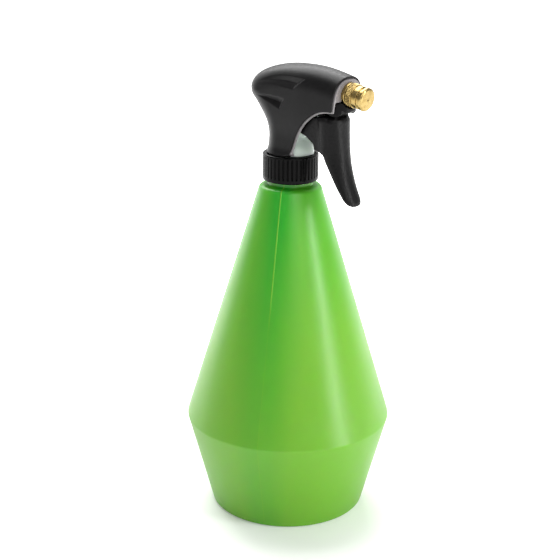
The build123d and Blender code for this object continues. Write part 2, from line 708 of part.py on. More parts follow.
def trigger():
    body = lever_outside() - lever_hollow()
    for side in (-1, 1):
        low, high = sorted((side * FLANGE_IN, side * FLANGE_OUT))
        body += side_plate(SIDE_PLATE, low, high)
    body += Pos(WEB_X + WEB_T / 2, 0, PISTON_Z) * Box(WEB_T, 2 * FLANGE_IN + 1, WEB_H)
    body += side_plate(LEVER_NECK, -KNUCKLE_HALF, KNUCKLE_HALF)
    body += rod_y(KNUCKLE_R, -KNUCKLE_HALF, KNUCKLE_HALF)
    return body - rod_y(PIN_R + PIN_FIT, -FAR, FAR)


PARTS = {
    "bottle": bottle,
    "collar": collar,
    "neck_gasket": neck_gasket,
    "pump_body": pump_body,
    "tube_retainer": tube_retainer,
    "inlet_ball": lambda: ball_on_seat(INLET_BALL_R, SEAT_R, SEAT_Z),
    "dip_tube": dip_tube,
    "intake_filter": intake_filter,
    "piston": piston,
    "piston_seal": piston_seal,
    "return_spring": return_spring,
    "outlet_ball": lambda: ball_on_seat(OUTLET_BALL_R, VALVE_SEAT_R, VALVE_SEAT_Z, PORT_X),
    "outlet_spring": outlet_spring,
    "outlet_tube": outlet_tube,
    "nozzle_stem": nozzle_stem,
    "stem_o_ring": stem_o_ring,
    "swirl_core": swirl_core,
    "nozzle_seal": nozzle_seal,
    "nozzle_cap": nozzle_cap,
    "shroud": shroud,
    "inner_housing": inner_housing,
    "nose_cradle": nose_cradle,
    "trigger_pin": trigger_pin,
    "trigger": trigger,
}


def main():
    os.makedirs("parts", exist_ok=True)
    for name, make in PARTS.items():
        shape = make()
        export_step(shape, f"parts/{name}.step")


main()
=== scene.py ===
"""A pump sprayer: a green bottle, a black trigger head and a brass nozzle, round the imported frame.

Shapes are worked out in millimetres in the frame's axes (+Z up, +X the way it sprays) and made in metres.
"""
import json
import math

import bpy
import numpy as np
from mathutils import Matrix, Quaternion, Vector
from numpy.linalg import norm


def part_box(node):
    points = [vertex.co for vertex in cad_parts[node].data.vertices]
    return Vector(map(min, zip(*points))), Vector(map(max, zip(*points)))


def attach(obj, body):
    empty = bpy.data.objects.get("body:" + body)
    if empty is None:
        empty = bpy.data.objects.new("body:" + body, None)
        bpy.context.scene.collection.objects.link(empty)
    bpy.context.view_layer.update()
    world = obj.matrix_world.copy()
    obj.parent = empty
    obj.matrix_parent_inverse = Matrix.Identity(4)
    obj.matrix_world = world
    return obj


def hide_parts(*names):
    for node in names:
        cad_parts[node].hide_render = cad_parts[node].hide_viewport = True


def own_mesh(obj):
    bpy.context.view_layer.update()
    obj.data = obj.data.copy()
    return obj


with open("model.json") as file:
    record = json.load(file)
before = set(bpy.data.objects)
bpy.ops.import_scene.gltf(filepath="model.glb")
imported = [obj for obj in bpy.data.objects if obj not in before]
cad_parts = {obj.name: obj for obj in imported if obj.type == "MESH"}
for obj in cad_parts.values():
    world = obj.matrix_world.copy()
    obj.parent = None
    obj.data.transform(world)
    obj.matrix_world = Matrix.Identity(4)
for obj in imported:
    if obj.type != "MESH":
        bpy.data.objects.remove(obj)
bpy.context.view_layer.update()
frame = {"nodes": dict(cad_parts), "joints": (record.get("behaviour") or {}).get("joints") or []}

MM = 0.001
SCENE = bpy.context.scene


def node_box(node):
    """A node's lowest and highest corners in millimetres."""
    low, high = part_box(node)
    return np.array(low) / MM, np.array(high) / MM


# ---- places that the frame gives
BOTTLE_HIGH = node_box("bottle")[1]
COLLAR_LOW, COLLAR_HIGH = node_box("collar")
SHROUD_LOW, SHROUD_HIGH = node_box("shroud")
CRADLE_LOW, CRADLE_HIGH = node_box("nose_cradle")
TRIGGER_LOW, TRIGGER_HIGH = node_box("trigger")
PIN_LOW, PIN_HIGH = node_box("trigger_pin")
PIVOT = (PIN_LOW + PIN_HIGH) / 2
NOZZLE = next(joint for joint in frame["joints"] if joint["name"] == "nozzle_turn")
NOZZLE_AXIS = np.array(NOZZLE["axis"])
NOZZLE_POINT = np.array(NOZZLE["pos_m"]) / MM
BEZEL_TO_JOINT = 8.0  # from the bezel's face to the nozzle joint's point
BEZEL_POINT = NOZZLE_POINT - BEZEL_TO_JOINT * NOZZLE_AXIS

# ---- bottle
BASE_R = 45.0
FOOT_R = 40.0  # the ring that the bottle stands on starts here
DISH_R = 34.0
PUSH_UP = 3.0  # the dished middle of the base, above the floor
WAIST_R = BOTTLE_HIGH[0] + 0.07  # before its edge is rounded
WAIST_Z = 55.5
SHOULDER_R = 17.6
SHOULDER_Z = 195.6
WALL = 0.9
SLOPED_WALL = 1.04 * WALL  # the same wall measured level where it slopes
NECK_R = 12.6
NECK_CREST_R = 13.75
NECK_BORE_R = 10.75
RIM_Z = BOTTLE_HIGH[2]
BOTTLE_SECTION = [  # radius, height, rounding: up the outside from the middle, then down the inside
    (0, PUSH_UP, 0), (DISH_R, PUSH_UP, 4), (FOOT_R, 0, 2), (BASE_R, 0, 2.2), (WAIST_R, WAIST_Z, 2.6),
    (SHOULDER_R, SHOULDER_Z, 3.0), (NECK_R, SHOULDER_Z + 0.4, 1.0), (NECK_R, RIM_Z, 0.3),
    (NECK_BORE_R, RIM_Z, 0.3), (NECK_BORE_R, SHOULDER_Z - WALL, 0.8),
    (SHOULDER_R - WALL, SHOULDER_Z - WALL, 2.1), (WAIST_R - SLOPED_WALL, WAIST_Z, 2.2),
    (BASE_R - SLOPED_WALL, WALL, 1.6), (FOOT_R - WALL, WALL, 1.5), (DISH_R - WALL, PUSH_UP + WALL, 3.5),
    (0, PUSH_UP + WALL, 0),
]
BOTTLE_SPACING = 3.0
BOTTLE_TURN_STEP = 1.5  # degrees
NECK_FINE = (SHOULDER_Z + 2.4, RIM_Z - 0.6)  # heights where the mesh is fine, for the thread
NECK_COARSE = (SHOULDER_Z + 2.0, RIM_Z - 0.4)  # heights where that replaces the coarse one
NECK_SPACING = 0.2
THREAD_PITCH = 4.23
THREAD_TURNS = 1.25
THREAD_FOOT = 2.2  # a thread's width at its foot
THREAD_CREST = 0.8
THREAD_FADE = 0.05  # turns over which a thread's ends rise
THREAD_START_Z = 201.6
SEAM_TURNS = (-65.0, 115.0)  # where the mould parts, in degrees about Z from +X
SEAM_HALF = 0.32
SEAM_HEIGHT = 0.22
SEAM_LOW = 0.12  # how much of the seam stands on the lower bottle
SEAM_FADE_Z = (120.0, 150.0)
SEAM_START_Z = 0.6
SEAM_LEAST_R = NECK_R + 0.5
SEAM_MESH_TURN = 1.4  # degrees each side of a seam where the mesh is fine
SEAM_MESH_STEPS = 29

# ---- collar
COLLAR_R = COLLAR_HIGH[0]
COLLAR_BORE_R = 14.05
COLLAR_THREAD_R = 12.9
COLLAR_LIP = 1.6
LIP_BORE_R = 12.3
COLLAR_MIDDLE_Z = (COLLAR_LOW[2] + COLLAR_HIGH[2]) / 2
COLLAR_SECTION = [  # radius, height, rounding: starts and ends half way up the bore
    (COLLAR_BORE_R, COLLAR_MIDDLE_Z, 0), (COLLAR_BORE_R, COLLAR_LOW[2], 0.3), (COLLAR_R, COLLAR_LOW[2], 1.0),
    (COLLAR_R, COLLAR_HIGH[2], 0.9), (LIP_BORE_R, COLLAR_HIGH[2], 0.3),
    (LIP_BORE_R, COLLAR_HIGH[2] - COLLAR_LIP, 0.3), (COLLAR_BORE_R, COLLAR_HIGH[2] - COLLAR_LIP, 0.3),
    (COLLAR_BORE_R, COLLAR_MIDDLE_Z + 0.2, 0),
]
COLLAR_SPACING = 0.32
RIBS = 40
RIB_TURN_STEPS = 16
RIB_DEPTH = 0.65
RIB_GAP_SHARE = 0.30
RIB_GAP_BLEND = 0.07
RIB_FOOT_Z = (COLLAR_LOW[2] + 2.4, COLLAR_LOW[2] + 3.1)  # heights over which the ribs start
RIB_HEAD_Z = (COLLAR_HIGH[2] - 1.7, COLLAR_HIGH[2] - 0.8)  # heights over which they end
NUT_START_TURN = 0.375

# ---- head: outer form
SKIRT_R = SHROUD_HIGH[1] + 0.35  # before its edge is rounded
SKIRT_Z = SHROUD_LOW[2]
SKIRT_FLARE = 1.2  # how fast the room for the head widens above the skirt
SKIRT_ROUND = 0.6
SHROUD_T = 1.2
EDGE_ROUND = 0.35
REAR_AND_TOP = [  # side view of the mid-plane, from below the skirt to past the nozzle
    (-15.6, 212.0), (-14.2, 214.6), (-13.0, 217.2), (-12.4, 221.4), (-12.3, 226.0), (-13.9, 231.5),
    (-17.3, 236.2), (-21.0, 240.7), (-24.0, 243.9), (-25.4, 247.6), (-24.9, 252.4), (-20.6, 257.8),
    (-13.4, 261.5), (-5.5, 263.8), (2.5, 265.1), (10.5, 265.6), (18.3, 265.7), (26.1, 265.1), (33.7, 263.9),
    (41.4, 262.3), (49.0, 260.4),
]
HALF_WIDTHS = [  # z, half width
    (210.0, 15.6), (214.6, 14.2), (217.0, 13.05), (221.6, 12.45), (226.0, 12.25), (231.5, 12.5),
    (236.0, 12.8), (241.0, 13.0), (247.0, 13.1), (270.0, 13.1),
]
NOSE_NARROWS = 0.9  # half width lost between the hump and the nozzle's opening
NOSE_FROM_X = 12.0
SQUARER = 0.35  # what the crown's section gains on an ellipse's power of 2
SQUARER_Z = (244.0, 256.0)
OUTLINE_PER_SPAN = 8
OUTLINE_PASSES = 10
WIDTH_PASSES = 6
FRONT_EDGE = [  # side view of the shroud's lower front edge, from the skirt to the nozzle
    (8.4, 210.0), (9.2, 214.0), (11.4, 220.6), (13.0, 225.7), (16.0, 231.1), (19.9, 235.9), (24.5, 239.8),
    (31.4, 243.1), (38.9, 244.0),
]
CURVE_PER_SPAN = 6
RIM_TOP = (41.5, 262.3)
FAR = 90.0  # beyond the head on every side
HEAD_CLOSED_BY = [(FAR, 250.0), (FAR, 120.0), (-20.0, 120.0)]
KEPT_CLOSED_BY = [
    RIM_TOP, (RIM_TOP[0] + 2.0, RIM_TOP[1] + 14.0), (-FAR, RIM_TOP[1] + 14.0), (-FAR, 150.0), (6.0, 150.0),
]
FLUTES = [  # upper edge and lower edge as (x, z) from the rear, end wall top and foot, depth
    ([(-14.5, 254.6), (-7.7, 257.7), (-0.1, 259.5), (9.3, 260.2), (22.0, 259.8)],
     [(-14.5, 254.2), (-5.3, 254.2), (4.3, 253.8), (12.6, 253.2), (22.0, 252.4)],
     (20.4, 259.7), (12.6, 253.2), 1.9),
    ([(-17.0, 247.0), (-8.0, 248.1), (-0.5, 248.2), (7.0, 247.4)],
     [(-17.0, 246.6), (-13.4, 246.0), (-7.6, 244.6), (-1.8, 242.6), (7.0, 239.4)],
     (5.9, 246.8), (2.5, 240.9), 1.8),
]
FLUTE_CREASE = 0.5  # where the groove's floor lies, from its lower edge to its upper
FLUTE_LEAST = 0.05  # least height of a groove's slope
FLUTE_DEEPENS = (-0.1, 1.0)  # shares of a groove's length over which it reaches its depth
FLUTE_END_SLOPE = 1.0
FLUTE_ROUND = 0.25

# ---- liner: the housing under the shroud, with the bezel
LINER_OUT = 1.3  # depths below the head's outside
LINER_IN = 2.4
LINER_PROUD = 0.9  # what shows past the shroud's edge
LINER_FOOT_ROUND = 0.3
COLUMN_R = 11.2  # room for the pump body
COLUMN_TOP = 218.8
LOBE_X = 3.0
BEZEL_T = 2.0
BEZEL_FOOT_Z = 249.1
STEM_SPIGOT_R = 3.4
CUT_ROUND = 0.2
JOIN_ROUND = 0.5

# ---- cradle: the chin, with two ears for the trigger's pin
CHIN = [(33.0, 248.8), (40.4, 248.8), (42.4, 249.0), (44.5, 245.4), (44.1, 243.8), (42.4, 242.4),
        (39.0, 241.0), (36.5, 241.2), (33.0, 242.6)]
CHIN_LONG, CHIN_WIDE = 11.2, 9.8  # half axes of its round front in plan
CHIN_ROUND = 0.9
EAR_IN = 6.0
EAR_OUT = CRADLE_HIGH[1]
EAR_R = 4.3
EAR_ROUND = 0.5
KNUCKLE_ROOM = 4.9
VISOR_WALL_X = 42.4
VISOR_ROOF_Z = 244.2
NOZZLE_CLEAR_R = 7.2
NOZZLE_CLEAR_BACK = 3.0
ROOM_ROUND = 0.4
PIN_R = 1.5
PIN_ROUND = 0.1

# ---- trigger
LEVER = [  # z, rear x, front x, half width
    (243.0, 28.4, 39.5, 10.3), (236.0, 28.3, 39.5, 10.0), (229.0, 28.8, 39.9, 9.5), (219.0, 29.6, 40.9, 8.9),
    (210.0, 33.8, 42.6, 8.2), (202.0, 38.2, 45.3, 7.5), (195.0, 42.9, 48.6, 6.9), (188.0, 47.6, 52.4, 6.5),
]
LEVER_PER_SPAN = 8
LEVER_POWER = 2.4  # of the curve of its plan section
LEVER_TOP = 240.4
LEVER_WALL = 2.0
LEVER_REAR_SLOPE = 0.9
LEVER_REAR_ROUND = 3.4
LEVER_TOP_ROUND = 4.0
LEVER_TIP_ROUND = 6.0
CHANNEL_FLOOR_Z = TRIGGER_LOW[2] + 8.0
CHANNEL_ROUND = 1.0
CHANNEL_LIP_ROUND = 0.6
SIDE_PLATE = [(32.0, 219.6), (24.4, 220.8), (23.8, 223.8), (21.0, 225.6), (18.4, 227.4), (13.6, 228.9),
              (14.6, 233.0), (20.0, 238.6), (32.0, 239.4)]
PLATE_IN, PLATE_OUT = 7.1, 8.6
PLATE_FILLET = 2.5
WEB_X = (27.0, 29.2)  # the cross wall that pushes the piston
WEB_HALF_Z = 5.5
WEB_OVERLAP = 0.5
PUSH_Z = 232.0
HINGE_NECK_X = (31.0, 37.0)
HINGE_NECK_SINKS = 1.4
KNUCKLE_HALF = 5.6
KNUCKLE_R = 3.4
KNUCKLE_FILLET = 0.8
PIN_HOLE_R = 1.55

# ---- brass: distances along the nozzle's axis are from the bezel's face
KNURLS = 48
KNURL_TURN_STEPS = 10
KNURL_R = 6.6
KNURL_DEPTH = 0.3
CAP_START = 2.8
CAP_BORE_R = 4.06
CAP_TIP = 14.04
CAP_CHAMBER_END = 12.7
ORIFICE_R = 0.5
KNURL_FOOT = (CAP_START + 0.3, CAP_START + 0.7)
KNURL_HEAD = (5.7, 6.1)
CAP_SECTION = [  # radius, distance along the axis, rounding: starts and ends in the bore
    (CAP_BORE_R, 8.0, 0), (CAP_BORE_R, CAP_START, 0.15), (KNURL_R, CAP_START, 0.35), (KNURL_R, 6.4, 0.35),
    (5.95, 6.5, 0.15), (5.95, 6.95, 0.15), (6.3, 7.05, 0.3), (6.3, 9.8, 0.3), (5.6, 10.0, 0.25),
    (5.6, 11.2, 0.25), (6.5, 11.5, 0.45), (6.5, 12.9, 0.7), (5.6, 13.65, 0.6), (1.3, 14.0, 0.3),
    (0.9, CAP_TIP, 0.1),
    (ORIFICE_R, CAP_TIP - 0.15, 0.1), (ORIFICE_R, CAP_CHAMBER_END, 0.1), (CAP_BORE_R, CAP_CHAMBER_END, 0.2),
    (CAP_BORE_R, 8.2, 0),
]
CAP_SPACING = 0.4
STEM_SECTION = [  # radius, distance along the axis, rounding: bore, spigot, fixed ring, bore
    (1.2, 0.0, 0), (1.2, -5.0, 0), (2.2, -5.0, 0), (2.2, -11.0, 0.1), (3.4, -11.0, 0.2), (3.4, 0.0, 0.05),
    (6.4, 0.0, 0.3), (6.4, 2.2, 0.45), (4.0, 2.2, 0.2), (4.0, 7.4, 0.05), (3.3, 7.4, 0.05), (3.3, 8.3, 0.05),
    (4.0, 8.3, 0.05), (4.0, 9.0, 0.2), (1.2, 9.0, 0.1), (1.2, 0.2, 0),
]
STEM_SPACING = 0.5
STEM_TURN_STEPS = 160

# ---- springs
WIRE_SIDES = 10
STEPS_PER_TURN = 40
ENDS_CLOSED = 0.07  # how much the end turns crowd together, as a share of the length

# ---- bottle's colour, with its painted shade and highlight, in metres where it is a place
SEAM_SHADE_BAND = (0.10, 0.50)  # sines of the angle from the seam over which the painted shade about it gives way to the lit green
# heights over which the painted highlight along each seam's ridge grows
SEAM_HIGHLIGHT_Z = (SEAM_FADE_Z[0] * MM, SEAM_FADE_Z[1] * MM)
BOTTLE_SHADE_Z = (55 * MM, 200 * MM)  # heights over which painted shade darkens the green towards the neck, the low wall painted lighter where the floor lights it
# the darker green of the painted shade, about the seams and towards the neck
BOTTLE_SHADED = (0.03, 0.44, 0.02)
# the lit green, also the material's base colour
BOTTLE_LIT = (0.19, 0.52, 0.02)
BOTTLE_THROUGH = (0.08, 0.55, 0.02, 1)
THROUGH_SHARE = 0.3

# ---- camera, floor and light
CAMERA_TURN = math.radians(41.5)  # from -Y towards +X
CAMERA_REACH = 764.8
CAMERA_Z = 395.8
LOOK_Z = 137.6
CAMERA_ROLL = math.radians(0.62)
LENS = 88.88
SENSOR = 36.0
SHIFT_X = -0.0166
FLOOR_REACH = 6.0  # metres
FLOOR_GLOW = (0.1, 0.95)  # emission beside the bottle and far away, for an evenly white floor
FLOOR_GLOW_REACH = (0.12, 0.55)
WORLD_LEVEL = 0.36
WORLD_SEEN = 1.0
SOFTBOXES = [  # name, degrees right of the camera's side, reach and height in metres, size, power in watts
    ("right_strip", 61.0, 0.95, 0.42, (0.22, 1.1), 8.0),
    ("right_box", 135.0, 1.0, 0.45, (0.6, 1.1), 1.8),
    ("left_box", -135.0, 1.0, 0.45, (0.8, 1.1), 5.2),
    ("front_fill", 20.0, 1.5, 1.0, (0.9, 0.5), 6.5),
    ("back_box", 180.0, 1.6, 0.8, (2.6, 1.6), 8.0),
    ("overhead", -165.0, 0.6, 1.1, (1.0, 1.0), 21.0),
]
LIGHT_AIM_Z = 0.15

# ---- grids and limits of the mesh code
SHELL_STEP = 0.5  # grid steps of the meshed pieces
CRADLE_STEP = 0.35
TRIGGER_STEP = 0.45
TABLE_STEP = 0.15  # grid of a side-view table
TABLE_EDGE = 3.0
AXES = [np.roll(np.eye(3, dtype=int), -axis, axis=0) for axis in range(3)]  # each axis, then the next two
NET_PASSES = 2  # smoothings of a surface net
NET_STEPS = 2  # Newton steps after each
SLOPE_REACH = 0.12  # half the distance over which a field's slope is measured
LEAST_SLOPE = 0.05  # least square of a slope that a Newton step divides by
SAME = 1e-6
TINY = 1e-9
STRAIGHT = 1.56  # half angles at a corner above this need no rounding
ARC_STEP = math.radians(12)
LEAST_ARC_STEPS = 3
MOST_TRIM = 0.49  # share of a section's side that one corner's rounding may take


# ---- curves

def natural_spline(points, per_span):
    """Points along a natural cubic spline through the given ones, per_span of them to each gap."""
    points = np.array(points, float)
    count = len(points)
    knots = np.concatenate([[0], np.cumsum(norm(np.diff(points, axis=0), axis=1))])
    gap = np.diff(knots)
    system = np.eye(count)
    right = np.zeros_like(points)
    for i in range(1, count - 1):
        system[i, i - 1:i + 2] = gap[i - 1], 2 * (gap[i - 1] + gap[i]), gap[i]
        right[i] = 6 * ((points[i + 1] - points[i]) / gap[i] - (points[i] - points[i - 1]) / gap[i - 1])
    bend = np.linalg.solve(system, right)
    at = np.arange((count - 1) * per_span + 1) / per_span
    i = np.minimum(at.astype(int), count - 2)
    width = gap[i][:, None]
    after = (at - i)[:, None] * width
    before = width - after
    return (
        (bend[i] * before ** 3 + bend[i + 1] * after ** 3) / (6 * width)
        + (points[i] / width - bend[i] * width / 6) * before
        + (points[i + 1] / width - bend[i + 1] * width / 6) * after
    )


def relaxed(points, passes):
    """The points with small wiggles averaged out, except at their ends."""
    points = points.copy()
    for _ in range(passes):
        points[1:-1] = (points[:-2] + 2 * points[1:-1] + points[2:]) / 4
    return points


# ---- fields: distances, negative inside the material

def outline_distance(outline, x, z):
    """Signed distance to a closed outline in side view, positive inside it."""
    nearest = np.full(x.shape, np.inf)
    inside = np.zeros(x.shape, bool)
    for (ax, az), (bx, bz) in zip(outline, np.roll(outline, -1, axis=0)):
        ex, ez = bx - ax, bz - az
        px, pz = x - ax, z - az
        along = np.clip((px * ex + pz * ez) / (ex * ex + ez * ez), 0, 1)
        nearest = np.minimum(nearest, np.hypot(px - along * ex, pz - along * ez))
        if az != bz:
            crosses = (az > z) != (bz > z)
            inside ^= crosses & (px < ex * pz / ez)
    return np.where(inside, nearest, -nearest)


def side_view_field(outline, low, high):
    """Looks up the signed distance to an outline in a table made once over the side view."""
    xs = np.arange(low[0] - TABLE_EDGE, high[0] + TABLE_EDGE, TABLE_STEP)
    zs = np.arange(low[2] - TABLE_EDGE, high[2] + TABLE_EDGE, TABLE_STEP)
    table = outline_distance(np.array(outline), *np.meshgrid(xs, zs, indexing="ij"))

    def look_up(x, z):
        u = np.clip((x - xs[0]) / TABLE_STEP, 0, len(xs) - 1.001)
        v = np.clip((z - zs[0]) / TABLE_STEP, 0, len(zs) - 1.001)
        i, j = u.astype(int), v.astype(int)
        u, v = u - i, v - j
        low_row = (1 - v) * table[i, j] + v * table[i, j + 1]
        high_row = (1 - v) * table[i + 1, j] + v * table[i + 1, j + 1]
        return (1 - u) * low_row + u * high_row

    return look_up


def both(a, b, rounding):
    """The material in both fields, with the edge between them rounded."""
    overlap = np.maximum(rounding - np.abs(a - b), 0) / rounding
    return np.maximum(a, b) + overlap ** 2 * rounding / 4


def either(a, b, rounding):
    """The material in either field, with the corner between them filled."""
    return -both(-a, -b, rounding)


def slab(value, low, high):
    """The material between two flat faces."""
    return np.maximum(low - value, value - high)


def smooth_step(value, start, end):
    """A share that goes smoothly from 0 at the start to 1 at the end."""
    share = np.clip((value - start) / (end - start), 0, 1)
    return share * share * (3 - 2 * share)


def along_nozzle(x, z):
    """Distance along the nozzle's axis from the bezel's face, and height across it."""
    dx, dz = x - BEZEL_POINT[0], z - BEZEL_POINT[2]
    return dx * NOZZLE_AXIS[0] + dz * NOZZLE_AXIS[2], dz * NOZZLE_AXIS[0] - dx * NOZZLE_AXIS[2]


# ---- meshing a field

def field_gradient(field, points):
    """A field's slope along each axis."""
    slope = np.empty_like(points)
    for axis, offset in enumerate(SLOPE_REACH * np.eye(3)):
        slope[:, axis] = (field(points + offset) - field(points - offset)) / (2 * SLOPE_REACH)
    return slope


def onto_surface(field, points, limit):
    """Moves points onto a field's zero level by Newton steps no longer than the limit."""
    for _ in range(NET_STEPS):
        slope = field_gradient(field, points)
        move = -field(points)[:, None] * slope / np.maximum((slope ** 2).sum(axis=1), LEAST_SLOPE)[:, None]
        length = norm(move, axis=1)[:, None]
        points = points + move * np.minimum(1, limit / np.maximum(length, TINY))
    return points


def net_points(grid, value, step):
    """A point in each grid cell that the surface crosses, and a table of the cells' numbers."""
    inside = value < 0
    cells = tuple(n - 1 for n in value.shape)
    total = np.zeros(cells + (3,))
    count = np.zeros(cells)
    for along, side_a, side_b in AXES:
        for start in (0 * along, side_b, side_a, side_a + side_b):
            first = tuple(slice(s, s + n) for s, n in zip(start, cells))
            last = tuple(slice(s, s + n) for s, n in zip(start + along, cells))
            crossed = inside[first] != inside[last]
            rise = np.where(crossed, value[last] - value[first], 1)
            share = np.where(crossed, -value[first] / rise, 0)
            place = grid[first] + (share * step)[..., None] * along
            total += np.where(crossed[..., None], place, 0)
            count += crossed
    used = count > 0
    number = np.full(cells, -1)
    number[used] = np.arange(used.sum())
    return total[used] / count[used][:, None], number


def net_faces(inside, number):
    """A quad round each grid edge that the surface crosses."""
    faces = []
    for along, side_a, side_b in AXES:
        first = tuple(slice(1 - a, n) for a, n in zip(along, number.shape))
        last = tuple(slice(1, n + a) for a, n in zip(along, number.shape))
        crossed = inside[first] != inside[last]
        out = inside[first][crossed]
        place = np.argwhere(crossed) + (1 - along)
        corners = [place, place - side_a, place - side_a - side_b, place - side_b]
        quad = np.stack([number[tuple(c.T)] for c in corners], axis=1)
        quad[~out] = quad[~out][:, ::-1]
        faces.append(quad)
    return np.concatenate(faces)


def surface_net(field, low, high, step):
    """Quads on a field's zero level over a box, with their vertices' normals."""
    axes = [np.arange(a - 2 * step, b + 2 * step, step) for a, b in zip(low, high)]
    grid = np.stack(np.meshgrid(*axes, indexing="ij"), axis=-1)
    value = field(grid)
    points, number = net_points(grid, value, step)
    faces = net_faces(value < 0, number)
    points = onto_surface(field, points, step)
    edges = np.concatenate([faces[:, [0, 1]], faces[:, [1, 2]], faces[:, [2, 3]], faces[:, [3, 0]]])
    for _ in range(NET_PASSES):
        total = np.zeros_like(points)
        np.add.at(total, edges[:, 0], points[edges[:, 1]])
        np.add.at(total, edges[:, 1], points[edges[:, 0]])
        near = np.bincount(edges.ravel(), minlength=len(points))
        points = onto_surface(field, (points + total / near[:, None]) / 2, step)
    slope = field_gradient(field, points)
    return points, faces, slope / norm(slope, axis=1)[:, None]


# ---- meshing turned shapes

def rounded_corner(before, corner, after, rounding):
    """Points on the arc that rounds a corner, or the corner where it stays sharp."""
    back, ahead = before - corner, after - corner
    back_length, ahead_length = norm(back), norm(ahead)
    back, ahead = back / back_length, ahead / ahead_length
    half_angle = math.acos(np.clip(back @ ahead, -1, 1)) / 2
    if rounding <= 0 or half_angle > STRAIGHT:
        return [corner]
    trim = min(rounding / math.tan(half_angle), MOST_TRIM * back_length, MOST_TRIM * ahead_length)
    radius = trim * math.tan(half_angle)
    middle = (back + ahead) / norm(back + ahead)
    centre = corner + middle * radius / math.sin(half_angle)
    start = corner + back * trim - centre
    end = corner + ahead * trim - centre
    turn = math.pi - 2 * half_angle
    way = np.sign(start[0] * end[1] - start[1] * end[0])
    steps = max(LEAST_ARC_STEPS, int(turn / ARC_STEP))
    points = []
    for step in range(steps + 1):
        angle = way * turn * step / steps
        cos, sin = math.cos(angle), math.sin(angle)
        points.append(centre + (start[0] * cos - start[1] * sin, start[0] * sin + start[1] * cos))
    return points


def rounded_profile(corners, spacing):
    """Points (radius, height) round a turned section, from corners (radius, height, rounding)."""
    corners = np.array(corners, float)
    places = corners[:, :2]
    points = [places[0]]
    for before, corner, after, rounding in zip(places, places[1:], places[2:], corners[1:, 2]):
        points += rounded_corner(before, corner, after, rounding)
    points.append(places[-1])
    filled = points[:1]
    for start, end in zip(points, points[1:]):
        parts = max(1, math.ceil(norm(end - start) / spacing))
        filled += [start + (end - start) * part / parts for part in range(1, parts + 1)]
    return np.array(filled)


def even_turn(steps):
    """Angles once round, evenly spaced."""
    return 2 * math.pi * np.arange(steps) / steps


def turned(profile, angles, shape=None, closed=False):
    """Quads of a shape turned about Z. shape(angle, radius, height) gives the radius at a place."""
    count, around = len(profile), len(angles)
    angle = np.broadcast_to(np.array(angles)[:, None], (around, count))
    radius = np.broadcast_to(profile[None, :, 0], (around, count))
    height = np.broadcast_to(profile[None, :, 1], (around, count))
    if shape is not None:
        radius = shape(angle, radius, height)
    points = np.stack([radius * np.cos(angle), radius * np.sin(angle), height], axis=-1).reshape(-1, 3)
    rows = count if closed else count - 1
    turn, row = np.meshgrid(np.arange(around), np.arange(rows), indexing="ij")
    turn, row = turn.ravel(), row.ravel()
    next_turn, next_row = (turn + 1) % around, (row + 1) % count
    faces = np.stack([
        turn * count + row, next_turn * count + row, next_turn * count + next_row, turn * count + next_row,
    ], axis=1)
    return points, faces


def welded(points, faces):
    """The mesh with vertices at one place made one, and faces that lose an edge made triangles."""
    keys, index = np.unique(np.round(points, 5), axis=0, return_inverse=True)
    faces = index.reshape(-1)[faces]
    out = []
    for face in faces.tolist():
        ring = [v for i, v in enumerate(face) if v != face[i - 1]]
        if len(ring) > 2:
            out.append(ring)
    return keys, out


def area_normals(points, faces):
    """Vertex normals weighted by area, which keep a flat beside a small round flat."""
    total = np.zeros_like(points)
    for face in faces:
        corner = points[face]
        normal = np.zeros(3)
        for i in range(1, len(face) - 1):
            normal += np.cross(corner[i] - corner[0], corner[i + 1] - corner[0])
        total[face] += normal
    return total / np.maximum(norm(total, axis=1), TINY)[:, None]


def new_object(name, data):
    """An object in the scene."""
    made = bpy.data.objects.new(name, data)
    SCENE.collection.objects.link(made)
    return made


def make_piece(name, points, faces, body, slot, node, normals=None):
    """A mesh object in metres that rides on a body and stands for the CAD node it replaces."""
    mesh = bpy.data.meshes.new(name)
    faces = faces if isinstance(faces, list) else faces.tolist()
    mesh.from_pydata((points * MM).tolist(), [], faces)
    mesh.shade_smooth()
    if normals is not None:
        mesh.normals_split_custom_set_from_vertices(normals.tolist())
    mesh.materials.append(MATERIALS[slot])
    piece = new_object(name, mesh)
    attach(piece, body)
    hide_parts(node)
    return piece


# ---- materials

def set_inputs(node, **settings):
    """Sets a shader node's inputs by name, with _ for a space."""
    for name, setting in settings.items():
        node.inputs[name.replace("_", " ")].default_value = setting


